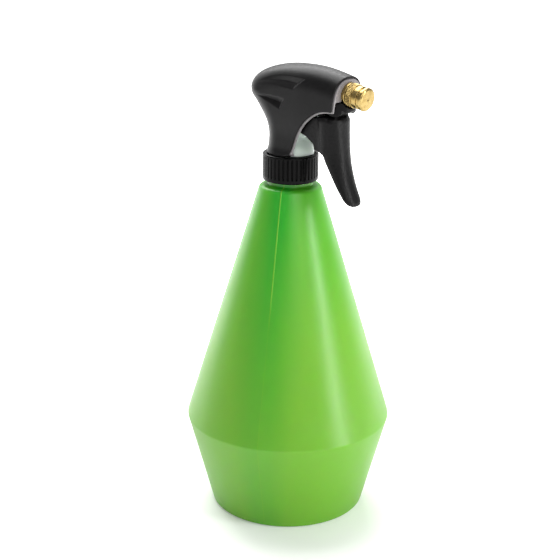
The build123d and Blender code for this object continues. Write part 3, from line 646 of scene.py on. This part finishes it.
class Finish:
    """A Principled material with procedural colour, roughness and relief in object space."""

    def __init__(self, name, colour, roughness, **settings):
        self.material = bpy.data.materials.new(name)
        self.material.use_nodes = True
        self.nodes = self.material.node_tree.nodes
        self.links = self.material.node_tree.links
        self.shader = self.nodes["Principled BSDF"]
        set_inputs(self.shader, Base_Color=(*colour, 1), Roughness=roughness, **settings)
        self.place = self.nodes.new("ShaderNodeTexCoord").outputs["Object"]

    def node(self, kind, socket, value, **settings):
        """A new shader node with a value linked to one of its sockets."""
        made = self.nodes.new("ShaderNode" + kind)
        set_inputs(made, **settings)
        self.links.new(value, made.inputs[socket])
        return made

    def stretched(self, scale, turn=(0, 0, 0)):
        """Object coordinates, stretched and turned to make a pattern run one way."""
        return self.node("Mapping", "Vector", self.place, Scale=scale, Rotation=turn).outputs["Vector"]

    def noise(self, grain_mm, detail=3.0, place=None):
        """Cloudy values about 0.5, with clouds as large as the grain in millimetres."""
        scale = 1 / (grain_mm * MM)
        return self.node("TexNoise", "Vector", place or self.place, Scale=scale, Detail=detail).outputs["Fac"]

    def pits(self, grain_mm):
        """Cells as a moulded leather-like grain has."""
        return self.node("TexVoronoi", "Vector", self.place, Scale=1 / (grain_mm * MM)).outputs["Distance"]

    def ranged(self, value, low, high, start=0.3, end=0.7):
        """The value from start to end, made to run from low to high."""
        limits = {"From_Min": start, "From_Max": end, "To_Min": low, "To_Max": high}
        return self.node("MapRange", "Value", value, **limits).outputs["Result"]

    def colours(self, value, dark, light, start=0.3, end=0.7):
        """Colours the surface from dark to light by a value."""
        ramp = self.node("ValToRGB", "Fac", value)
        for stop, position, colour in zip(ramp.color_ramp.elements, (start, end), (dark, light)):
            stop.position = position
            stop.color = (*colour, 1)
        self.links.new(ramp.outputs["Color"], self.shader.inputs["Base Color"])

    def maths(self, operation, *values):
        """The result of a Math node on one or two values."""
        node = self.nodes.new("ShaderNodeMath")
        node.operation = operation
        for value, socket in zip(values, node.inputs):
            self.links.new(value, socket)
        return node.outputs["Value"]

    def vector_math(self, operation, value, other=None):
        """A Vector Math node's result: a number for a length or a dot product."""
        node = self.node("VectorMath", 0, value)
        node.operation = operation
        if other is not None:
            node.inputs[1].default_value = other
        return node.outputs["Vector" if operation == "NORMALIZE" else "Value"]

    def rough(self, value, low, high):
        """Varies the roughness by a value."""
        self.links.new(self.ranged(value, low, high), self.shader.inputs["Roughness"])

    def relief(self, value, depth_mm, under=None):
        """Bumps by a value, on top of other bumps if given."""
        bump = self.node("Bump", "Height", value, Distance=depth_mm * MM)
        if under is not None:
            self.links.new(under, bump.inputs["Normal"])
        self.links.new(bump.outputs["Normal"], self.shader.inputs["Normal"])
        return bump.outputs["Normal"]


def moulded(name, dark, light, roughness, grain_mm, grain_depth, **settings):
    """Moulded plastic with a fine grain, faint blotches and uneven gloss."""
    finish = Finish(name, dark, sum(roughness) / 2, **settings)
    finish.colours(finish.noise(9.0), dark, light)
    finish.rough(finish.noise(5.0, 5.0), *roughness)
    wave = finish.relief(finish.noise(14.0, 1.0), 0.05)
    finish.relief(finish.pits(grain_mm), grain_depth, wave)
    return finish.material


def soft_black(name, level, roughness, specular, grain_mm, grain_depth):
    """Satin black plastic with an eroded spark grain."""
    dark = tuple(level * tint for tint in (0.92, 0.88, 0.92))
    light = tuple(level * tint for tint in (1.2, 1.14, 1.2))
    finish = Finish(name, dark, sum(roughness) / 2, Specular_IOR_Level=specular)
    finish.colours(finish.noise(3.0, 6.0), dark, light)
    finish.rough(finish.noise(1.6, 6.0), *roughness)
    wave = finish.relief(finish.noise(16.0, 1.0), 0.10)
    finish.relief(finish.noise(grain_mm, 4.0), grain_depth, wave)
    return finish.material


def bottle_green():
    """Translucent polyethylene, with painted shade: darker green about the seams and towards the neck,
    lighter low down where the floor lights it, and a painted highlight along each seam's ridge.
    """
    finish = Finish("bottle_green", BOTTLE_LIT, 0.34, Specular_IOR_Level=0.65, Subsurface_Weight=0.45,
                    Subsurface_Scale=0.006, Subsurface_Radius=(0.35, 1.0, 0.25), IOR=1.5)
    height = finish.node("SeparateXYZ", "Vector", finish.place).outputs["Z"]
    seam = math.radians(SEAM_TURNS[0])
    across_seam = (-math.sin(seam), math.cos(seam), 0)
    outward = finish.vector_math("NORMALIZE", finish.stretched((1, 1, 0)))
    off_seam = finish.maths("ABSOLUTE", finish.vector_math("DOT_PRODUCT", outward, across_seam))
    beside_seam = finish.maths("ABSOLUTE", finish.vector_math("DOT_PRODUCT", finish.place, across_seam))
    # painted shade: a darker green band about each seam, the lit green away from them
    lit_off_seam = finish.ranged(off_seam, 0.0, 0.55, *SEAM_SHADE_BAND)
    # painted light and shade: lighter low down where the floor lights the wall, darker towards the neck
    low = finish.ranged(height, 0.75, -0.15, *BOTTLE_SHADE_Z)
    flow = finish.ranged(finish.noise(24.0, 2.0, finish.stretched((1, 1, 0.12))), -0.06, 0.06)
    # painted highlight: lighter along each seam's ridge, more so high up
    ridge = finish.ranged(beside_seam, 1.0, 0.0, 0.5 * SEAM_HALF * MM, 1.5 * SEAM_HALF * MM)
    ridge = finish.maths("MULTIPLY", ridge, finish.ranged(height, 0.15, 1.0, *SEAM_HIGHLIGHT_Z))
    # the colour's share: painted light and shade, with a random flow of tone
    share = lit_off_seam
    for part in (low, flow, ridge):
        share = finish.maths("ADD", share, part)
    finish.colours(share, BOTTLE_SHADED, BOTTLE_LIT, start=0.0, end=1.0)
    finish.rough(finish.noise(12.0, 4.0), 0.30, 0.37)
    wave = finish.relief(finish.noise(30.0, 1.0, finish.stretched((1, 1, 0.3))), 0.25)
    peel = finish.relief(finish.noise(2.2, 2.0), 0.012, wave)
    through = finish.node("BsdfTranslucent", "Normal", peel, Color=BOTTLE_THROUGH)
    mix = finish.node("MixShader", 1, finish.shader.outputs["BSDF"], Fac=THROUGH_SHARE)
    finish.links.new(through.outputs["BSDF"], mix.inputs[2])
    finish.links.new(mix.outputs["Shader"], finish.nodes["Material Output"].inputs["Surface"])
    return finish.material


def turned_brass():
    """Brass with the fine rings that a lathe leaves about the nozzle's axis."""
    dark, light = (0.30, 0.205, 0.065), (0.43, 0.315, 0.12)
    finish = Finish("turned_brass", light, 0.22, Metallic=1.0)
    finish.colours(finish.noise(2.5, 5.0), dark, light, start=0.25, end=0.6)
    finish.rough(finish.noise(1.2, 5.0), 0.22, 0.32)
    tilt = math.asin(-NOZZLE_AXIS[2])
    rings = finish.noise(0.10, 1.0, finish.stretched((1, 0.02, 0.02), (0, -tilt, 0)))
    finish.relief(rings, 0.003)
    return finish.material


def steel(name, level, roughness):
    """Bright stainless steel, slightly uneven in tone and gloss."""
    finish = Finish(name, (level,) * 3, sum(roughness) / 2, Metallic=1.0)
    finish.colours(finish.noise(1.5, 5.0), (0.85 * level,) * 3, (level,) * 3)
    finish.rough(finish.noise(0.8, 5.0), *roughness)
    finish.relief(finish.noise(0.3, 2.0), 0.003)
    return finish.material


def milky(name, dark, light):
    """Uncoloured polypropylene, which light soaks into."""
    finish = Finish(name, light, 0.35, Subsurface_Weight=0.6, Subsurface_Scale=0.003,
                    Subsurface_Radius=(0.9, 1.0, 0.8))
    finish.colours(finish.noise(8.0), dark, light)
    finish.rough(finish.noise(3.0, 4.0), 0.30, 0.42)
    finish.relief(finish.noise(1.5, 2.0), 0.015)
    return finish.material


MATERIALS = {
    "bottle_plastic": bottle_green(),
    "collar_plastic": moulded("collar_black", (0.0012, 0.0012, 0.0012), (0.002, 0.002, 0.002), (0.16, 0.24),
                              0.8, 0.004, Specular_IOR_Level=0.08),
    "soft_seal": moulded("seal_grey", (0.35, 0.36, 0.35), (0.42, 0.43, 0.42), (0.45, 0.6), 0.5, 0.01),
    "pump_plastic": milky("pump_milky", (0.48, 0.56, 0.50), (0.56, 0.63, 0.58)),
    "ball_steel": steel("ball_steel", 0.62, (0.08, 0.16)),
    "tube_plastic": milky("tube_clear", (0.66, 0.70, 0.68), (0.74, 0.77, 0.75)),
    "piston_plastic": moulded("piston_white", (0.66, 0.66, 0.64), (0.72, 0.72, 0.70), (0.35, 0.45),
                              0.6, 0.006),
    "spring_steel": steel("spring_steel", 0.50, (0.2, 0.34)),
    "brass": turned_brass(),
    "black_rubber": moulded("rubber_black", (0.012, 0.012, 0.012), (0.02, 0.02, 0.02), (0.5, 0.65),
                            0.4, 0.01),
    "shroud_plastic": soft_black("shroud_black", 0.0052, (0.34, 0.44), 0.15, 0.6, 0.04),
    "liner_plastic": moulded("liner_grey", (0.16, 0.148, 0.152), (0.21, 0.197, 0.201), (0.32, 0.42),
                             0.7, 0.006),
    "cradle_plastic": soft_black("cradle_black", 0.003, (0.30, 0.40), 0.10, 0.5, 0.03),
    "trigger_plastic": soft_black("trigger_black", 0.0025, (0.30, 0.42), 0.15, 1.0, 0.2),
}


# ---- bottle and collar

def thread_rise(angle, height, start_z, start_turn):
    """The share of a thread's height that stands at each place."""
    rise = np.zeros(angle.shape)
    turns_here = (angle / (2 * math.pi) - start_turn) % 1.0
    for lap in range(int(THREAD_TURNS) + 1):
        turns = turns_here + lap
        centre = start_z + turns * THREAD_PITCH
        off = np.abs(height - centre)
        ridge = np.clip((THREAD_FOOT / 2 - off) / ((THREAD_FOOT - THREAD_CREST) / 2), 0, 1)
        starts = smooth_step(turns, 0, THREAD_FADE)
        ends = smooth_step(turns, THREAD_TURNS - THREAD_FADE, THREAD_TURNS)
        rise = np.maximum(rise, starts * (1 - ends) * ridge)
    return rise


def bottle_profile():
    """The bottle's section, its points close together on the threaded neck."""
    profile = rounded_profile(BOTTLE_SECTION, BOTTLE_SPACING)
    radius, height = profile.T
    on_neck = (np.abs(radius - NECK_R) < SAME) & (height > NECK_COARSE[0]) & (height < NECK_COARSE[1])
    first = int(np.argmax(on_neck))
    last = len(on_neck) - int(np.argmax(on_neck[::-1]))
    neck_z = np.arange(*NECK_FINE, NECK_SPACING)
    neck = np.stack([np.full(len(neck_z), NECK_R), neck_z], axis=1)
    return np.concatenate([profile[:first], neck, profile[last:]])


def bottle_angles():
    """Angles once round, close together at the two seams."""
    angles = list(np.radians(np.arange(0, 360, BOTTLE_TURN_STEP)))
    for seam in np.radians(SEAM_TURNS):
        fine = np.linspace(-SEAM_MESH_TURN, SEAM_MESH_TURN, SEAM_MESH_STEPS)
        angles += list(seam % (2 * math.pi) + np.radians(fine))
    return np.unique(np.round(np.array(angles) % (2 * math.pi), 6))


def make_bottle():
    """One shell, with the neck's thread and the two seams of its mould."""
    profile = bottle_profile()
    on_neck = np.abs(profile[:, 0] - NECK_R) < SAME
    outer_half = np.arange(1, len(profile) + 1) < len(profile) / 2

    def shape(angle, radius, height):
        rise = thread_rise(angle, height, THREAD_START_Z, 0.0)
        out = radius + np.where(on_neck[None, :], (NECK_CREST_R - NECK_R) * rise, 0)
        outer = outer_half[None, :] & (radius > SEAM_LEAST_R) & (height > SEAM_START_Z)
        strong = SEAM_LOW + (1 - SEAM_LOW) * smooth_step(height, *SEAM_FADE_Z)
        for seam in np.radians(SEAM_TURNS):
            off = np.abs((angle - seam + math.pi) % (2 * math.pi) - math.pi) * radius
            ridge = np.exp(-(off / SEAM_HALF) ** 2)
            out += np.where(outer, SEAM_HEIGHT * strong * ridge, 0)
        return np.minimum(out, BOTTLE_HIGH[0])

    points, faces = welded(*turned(profile, bottle_angles(), shape))
    normals = area_normals(points, faces)
    make_piece("bottle_shell", points, faces, "bottle", "bottle_plastic", "bottle", normals)


def make_collar():
    """The ribbed ring with its inner thread."""
    start_z = THREAD_START_Z + (NUT_START_TURN - 0.5) * THREAD_PITCH

    def shape(angle, radius, height):
        share = (angle * RIBS / (2 * math.pi)) % 1.0
        off = np.minimum(share, 1 - share)
        half_gap = RIB_GAP_SHARE / 2
        groove = 1 - smooth_step(off, half_gap - RIB_GAP_BLEND, half_gap + RIB_GAP_BLEND)
        ends = smooth_step(height, *RIB_FOOT_Z) * (1 - smooth_step(height, *RIB_HEAD_Z))
        out = radius - np.where(radius > COLLAR_R - SAME, RIB_DEPTH * groove * ends, 0)
        bore = np.abs(radius - COLLAR_BORE_R) < SAME
        rise = thread_rise(angle, height, start_z, NUT_START_TURN)
        return out - np.where(bore, (COLLAR_BORE_R - COLLAR_THREAD_R) * rise, 0)

    profile = rounded_profile(COLLAR_SECTION, COLLAR_SPACING)
    points, faces = turned(profile, even_turn(RIBS * RIB_TURN_STEPS), shape, closed=True)
    normals = area_normals(points, faces)
    make_piece("collar_ribbed", points, faces, "collar", "collar_plastic", "collar", normals)


# ---- head

SIDE_TOP_FIELD = side_view_field(
    np.concatenate([relaxed(natural_spline(REAR_AND_TOP, OUTLINE_PER_SPAN), OUTLINE_PASSES), HEAD_CLOSED_BY]),
    SHROUD_LOW, SHROUD_HIGH)
KEPT_FIELD = side_view_field(
    np.concatenate([natural_spline(FRONT_EDGE, CURVE_PER_SPAN), KEPT_CLOSED_BY]),
    SHROUD_LOW, SHROUD_HIGH)
CHIN_FIELD = side_view_field(CHIN, CRADLE_LOW, CRADLE_HIGH)
PLATE_FIELD = side_view_field(SIDE_PLATE, TRIGGER_LOW, TRIGGER_HIGH)
WIDTH_CURVE = relaxed(natural_spline(HALF_WIDTHS, OUTLINE_PER_SPAN), WIDTH_PASSES)
LEVER_Z, LEVER_REAR, LEVER_FRONT, LEVER_HALF = natural_spline(LEVER, LEVER_PER_SPAN)[::-1].T


def curve_height(points, x):
    """Height of a side-view curve that runs along X."""
    curve = natural_spline(points, CURVE_PER_SPAN)
    return np.interp(x, curve[:, 0], curve[:, 1])


def flute_depth(x, z):
    """How far the two grooves on each side sink below the form."""
    depth = np.zeros(x.shape)
    for upper, lower, wall_top, wall_foot, deepest in FLUTES:
        top, bottom = curve_height(upper, x), curve_height(lower, x)
        crease = bottom + FLUTE_CREASE * (top - bottom)
        above = (top - z) / np.maximum(top - crease, FLUTE_LEAST)
        below = (z - bottom) / np.maximum(crease - bottom, FLUTE_LEAST)
        reach = (x - upper[0][0]) / (wall_foot[0] - upper[0][0])
        groove = deepest * smooth_step(reach, *FLUTE_DEEPENS) * np.minimum(above, below)
        ux, uz = wall_top[0] - wall_foot[0], wall_top[1] - wall_foot[1]
        behind = ((z - wall_foot[1]) * ux - (x - wall_foot[0]) * uz) / math.hypot(ux, uz)
        groove = -both(-groove, -FLUTE_END_SLOPE * behind, FLUTE_ROUND)
        depth = np.maximum(depth, both(groove, np.zeros(x.shape), FLUTE_ROUND) - FLUTE_ROUND / 4)
    return depth


def head_form(points):
    """The head's outside, before it is hollowed or its front is cut."""
    x, y, z = np.moveaxis(points, -1, 0)
    half = np.interp(z, *WIDTH_CURVE.T) - NOSE_NARROWS * smooth_step(x, NOSE_FROM_X, RIM_TOP[0])
    power = 2 + SQUARER * smooth_step(z, *SQUARER_Z)
    across = np.abs(y) / half
    inward = np.clip(1 - SIDE_TOP_FIELD(x, z) / half, 0, None)
    form = half * (across ** power + inward ** power) ** (1 / power) - half
    skirt = np.hypot(x, y) - (SKIRT_R + SKIRT_FLARE * (z - SKIRT_Z))
    return both(form, skirt, SKIRT_ROUND) + flute_depth(x, z)


def shell(form, outer, inner):
    """The wall between two depths below a form."""
    return np.abs(form + (outer + inner) / 2) - (inner - outer) / 2


def shroud_field(points):
    """The outer cover, cut off in front and at the skirt."""
    x, z = points[..., 0], points[..., 2]
    wall = shell(head_form(points), 0, SHROUD_T)
    wall = both(wall, -KEPT_FIELD(x, z), EDGE_ROUND)
    return both(wall, SKIRT_Z - z, EDGE_ROUND)


def liner_field(points):
    """The inner housing, with its bezel and the room for the pump body."""
    x, y, z = np.moveaxis(points, -1, 0)
    form = head_form(points)
    along, height = along_nozzle(x, z)
    wall = shell(form, LINER_OUT, LINER_IN)
    wall = both(wall, -KEPT_FIELD(x, z) - LINER_PROUD, EDGE_ROUND)
    wall = both(wall, along, EDGE_ROUND)
    bezel = both(form + LINER_OUT, np.abs(along + BEZEL_T / 2) - BEZEL_T / 2, EDGE_ROUND)
    bezel = both(bezel, BEZEL_FOOT_Z - z, EDGE_ROUND)
    bezel = both(bezel, STEM_SPIGOT_R - np.hypot(height, y), CUT_ROUND)
    column = np.maximum(np.hypot(x - np.clip(x, 0, LOBE_X), y) - COLUMN_R, z - COLUMN_TOP)
    body = both(either(wall, bezel, JOIN_ROUND), -column, CUT_ROUND)
    return both(body, SKIRT_Z - z, LINER_FOOT_ROUND)


def cradle_field(points):
    """The chin and its ears, hollowed for the trigger's knuckle and the nozzle."""
    x, y, z = np.moveaxis(points, -1, 0)
    along, height = along_nozzle(x, z)
    from_pin = np.hypot(x - PIVOT[0], z - PIVOT[2])
    chin = both(-CHIN_FIELD(x, z), np.abs(y) - EAR_OUT, CHIN_ROUND)
    ears = both(from_pin - EAR_R, np.abs(y) - EAR_OUT, EAR_ROUND)
    plan = (np.hypot(np.maximum(x - CHIN[0][0], 0) / CHIN_LONG, y / CHIN_WIDE) - 1) * CHIN_WIDE
    body = both(np.minimum(chin, ears), plan, CHIN_ROUND)
    inner = np.abs(y) - EAR_IN
    knuckle_room = np.maximum(inner, x - PIVOT[0] - KNUCKLE_ROOM)
    visor_room = np.maximum(np.maximum(inner, x - VISOR_WALL_X), z - VISOR_ROOF_Z)
    nozzle_room = np.maximum(np.hypot(height, y) - NOZZLE_CLEAR_R, -along - NOZZLE_CLEAR_BACK)
    for room in (knuckle_room, visor_room, nozzle_room):
        body = both(body, -room, ROOM_ROUND)
    pin = np.maximum(from_pin - PIN_R, np.abs(y) - PIN_HIGH[1])
    return both(body, -pin, PIN_ROUND)


def lever_section(x, y, z, inset):
    """Distance to the lever's plan section, flat sided and round in front, less the inset."""
    rear = np.interp(z, LEVER_Z, LEVER_REAR)
    front = np.interp(z, LEVER_Z, LEVER_FRONT) - inset
    half = np.interp(z, LEVER_Z, LEVER_HALF) - inset
    side = (np.abs(y) / half) ** LEVER_POWER
    ahead = (np.maximum(x - rear, 0) / (front - rear)) ** LEVER_POWER
    return np.minimum(half, front - rear) * ((side + ahead) ** (1 / LEVER_POWER) - 1)


def lever_field(x, y, z):
    """The trigger's long lever, with a channel down its back."""
    rear = np.interp(z, LEVER_Z, LEVER_REAR)
    lever = both(lever_section(x, y, z, 0), LEVER_REAR_SLOPE * (rear - x), LEVER_REAR_ROUND)
    lever = both(lever, z - LEVER_TOP, LEVER_TOP_ROUND)
    lever = both(lever, TRIGGER_LOW[2] - z, LEVER_TIP_ROUND)
    channel = both(lever_section(x, y, z, LEVER_WALL), z - LEVER_TOP + LEVER_WALL, CHANNEL_ROUND)
    channel = both(channel, CHANNEL_FLOOR_Z - z, CHANNEL_ROUND)
    return both(lever, -channel, CHANNEL_LIP_ROUND)


def trigger_field(points):
    """The lever, its side plates, the web that pushes the piston, and the knuckle on the pin."""
    x, y, z = np.moveaxis(points, -1, 0)
    from_pin = np.hypot(x - PIVOT[0], z - PIVOT[2])
    plates = both(-PLATE_FIELD(x, z), slab(np.abs(y), PLATE_IN, PLATE_OUT), JOIN_ROUND)
    web = np.maximum(slab(x, *WEB_X), np.abs(y) - PLATE_IN - WEB_OVERLAP)
    web = np.maximum(web, np.abs(z - PUSH_Z) - WEB_HALF_Z)
    neck = np.maximum(slab(x, *HINGE_NECK_X), slab(z, LEVER_TOP - HINGE_NECK_SINKS, PIVOT[2]))
    neck = both(neck, np.abs(y) - KNUCKLE_HALF, JOIN_ROUND)
    knuckle = both(from_pin - KNUCKLE_R, np.abs(y) - KNUCKLE_HALF, JOIN_ROUND)
    body = either(lever_field(x, y, z), plates, PLATE_FILLET)
    body = either(body, web, JOIN_ROUND)
    body = either(body, either(neck, knuckle, JOIN_ROUND), KNUCKLE_FILLET)
    return both(body, PIN_HOLE_R - from_pin, CUT_ROUND)


def make_head():
    """The four black and grey mouldings, each meshed from its field."""
    made = [  # name, field, grid step, node, body, slot
        ("shroud_shell", shroud_field, SHELL_STEP, "shroud", "head", "shroud_plastic"),
        ("liner_shell", liner_field, SHELL_STEP, "inner_housing", "head", "liner_plastic"),
        ("chin", cradle_field, CRADLE_STEP, "nose_cradle", "head", "cradle_plastic"),
        ("trigger_lever", trigger_field, TRIGGER_STEP, "trigger", "trigger", "trigger_plastic"),
    ]
    for name, field, step, node, body, slot in made:
        points, faces, normals = surface_net(field, *node_box(node), step)
        make_piece(name, points, faces, body, slot, node, normals)


# ---- brass

def lay_on_nozzle(points):
    """Turns points made about Z to lie along the nozzle's axis, from the bezel's face."""
    turn = Vector((0, 0, 1)).rotation_difference(Vector(NOZZLE_AXIS)).to_matrix()
    return points @ np.array(turn).T + BEZEL_POINT


def make_cap():
    """The knurled cap with its two rings and the spray orifice."""
    def shape(angle, radius, height):
        valley = 0.5 - 0.5 * np.cos(angle * KNURLS)
        ends = smooth_step(height, *KNURL_FOOT) * (1 - smooth_step(height, *KNURL_HEAD))
        return radius - np.where(radius > KNURL_R - SAME, KNURL_DEPTH * valley * ends, 0)

    profile = rounded_profile(CAP_SECTION, CAP_SPACING)
    points, faces = turned(profile, even_turn(KNURLS * KNURL_TURN_STEPS), shape, closed=True)
    points = lay_on_nozzle(points)
    normals = area_normals(points, faces)
    make_piece("nozzle_cap_knurled", points, faces, "nozzle_cap", "brass", "nozzle_cap", normals)


def make_stem():
    """The fitting that the cap turns on, with its fixed ring at the bezel."""
    profile = rounded_profile(STEM_SECTION, STEM_SPACING)
    points, faces = turned(profile, even_turn(STEM_TURN_STEPS), closed=True)
    points = lay_on_nozzle(points)
    normals = area_normals(points, faces)
    make_piece("nozzle_stem_turned", points, faces, "head", "brass", "nozzle_stem", normals)


# ---- springs

def tube_faces(rings):
    """Quads along a tube of rings of points, and a face over each end."""
    faces = []
    for ring in range(rings - 1):
        first, after = ring * WIRE_SIDES, (ring + 1) * WIRE_SIDES
        for side in range(WIRE_SIDES):
            beside = (side + 1) % WIRE_SIDES
            faces.append([first + side, first + beside, after + beside, after + side])
    start, end = list(range(WIRE_SIDES)), list(range((rings - 1) * WIRE_SIDES, rings * WIRE_SIDES))
    return faces + [start[::-1], end]


def make_spring(name, node, axis, coil_r, wire_r, turns):
    """A wire spring whose end turns crowd together."""
    low, high = node_box(node)
    across = [a for a in range(3) if a != axis]
    middle = (low + high) / 2
    length = high[axis] - low[axis] - 2 * wire_r
    around = np.linspace(0, 2 * math.pi * turns, turns * STEPS_PER_TURN + 1)
    share = around / around[-1]
    outward = np.zeros((len(around), 3))
    outward[:, across[0]], outward[:, across[1]] = np.cos(around), np.sin(around)
    centre = coil_r * outward
    centre[:, across] += middle[across]
    centre[:, axis] = low[axis] + wire_r + length * (share + ENDS_CLOSED * np.sin(2 * math.pi * share))
    tangent = np.gradient(centre, axis=0)
    tangent /= norm(tangent, axis=1)[:, None]
    side = np.cross(tangent, outward)
    turn = even_turn(WIRE_SIDES)[None, :, None]
    ring = outward[:, None] * np.cos(turn) + side[:, None] * np.sin(turn)
    points = (centre[:, None] + wire_r * ring).reshape(-1, 3)
    piece = make_piece(name, points, tube_faces(len(centre)), "head", "spring_steel", node)
    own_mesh(piece)


# ---- floor, light and camera

def make_camera():
    """A long lens, a little above the object and to the right of its side."""
    data = bpy.data.cameras.new("camera")
    data.lens = LENS
    data.sensor_width = SENSOR
    data.shift_x = SHIFT_X
    camera = new_object("camera", data)
    place = Vector((math.sin(CAMERA_TURN) * CAMERA_REACH, -math.cos(CAMERA_TURN) * CAMERA_REACH, CAMERA_Z))
    aim = (Vector((0, 0, LOOK_Z)) - place).to_track_quat("-Z", "Y")
    camera.rotation_mode = "QUATERNION"
    camera.rotation_quaternion = aim @ Quaternion((0, 0, 1), CAMERA_ROLL)
    camera.location = place * MM
    SCENE.camera = camera


def make_floor():
    """A white floor that glows more with distance, to fade into the background."""
    corners = [(x * FLOOR_REACH, y * FLOOR_REACH, 0) for x, y in ((-1, -1), (1, -1), (1, 1), (-1, 1))]
    mesh = bpy.data.meshes.new("floor")
    mesh.from_pydata(corners, [], [(0, 1, 2, 3)])
    finish = Finish("floor_white", (0.9, 0.9, 0.9), 0.6, Emission_Color=(1, 1, 1, 1), Specular_IOR_Level=0.1)
    glow = finish.ranged(finish.vector_math("LENGTH", finish.place), *FLOOR_GLOW, *FLOOR_GLOW_REACH)
    finish.links.new(glow, finish.shader.inputs["Emission Strength"])
    finish.rough(finish.noise(60.0), 0.55, 0.65)
    mesh.materials.append(finish.material)
    new_object("floor", mesh)


def make_lights():
    """Softboxes round the object."""
    for name, turn, reach, height, size, power in SOFTBOXES:
        data = bpy.data.lights.new(name, "AREA")
        data.shape = "RECTANGLE"
        data.size, data.size_y = size
        data.energy = power
        lamp = new_object(name, data)
        angle = CAMERA_TURN - math.pi / 2 + math.radians(turn)
        lamp.location = (reach * math.cos(angle), reach * math.sin(angle), height)
        aim = Vector((0, 0, LIGHT_AIM_Z)) - lamp.location
        lamp.rotation_euler = aim.to_track_quat("-Z", "Y").to_euler()
        lamp.visible_camera = False


def make_world():
    """A world bright to the camera but dim in reflections."""
    world = bpy.data.worlds.new("studio")
    world.use_nodes = True
    nodes, links = world.node_tree.nodes, world.node_tree.links
    background = nodes["Background"]
    set_inputs(background, Color=(1, 1, 1, 1))
    level = nodes.new("ShaderNodeMapRange")
    set_inputs(level, To_Min=WORLD_LEVEL, To_Max=WORLD_SEEN)
    links.new(nodes.new("ShaderNodeLightPath").outputs["Is Camera Ray"], level.inputs["Value"])
    links.new(level.outputs["Result"], background.inputs["Strength"])
    SCENE.world = world


def finish_cad_nodes():
    """Gives each CAD node that stays in view its slot's material."""
    for node in frame["nodes"].values():
        if node.hide_render:
            continue
        for place, old in enumerate(node.data.materials):
            node.data.materials[place] = MATERIALS[old.name.split(".")[0]]


make_bottle()
make_collar()
make_head()
make_cap()
make_stem()
make_spring("return_coil", "return_spring", axis=0, coil_r=4.2, wire_r=0.4, turns=5)
make_spring("outlet_coil", "outlet_spring", axis=2, coil_r=1.9, wire_r=0.2, turns=5)
finish_cad_nodes()
make_floor()
make_lights()
make_world()
make_camera()
SCENE.view_settings.view_transform = "Standard"
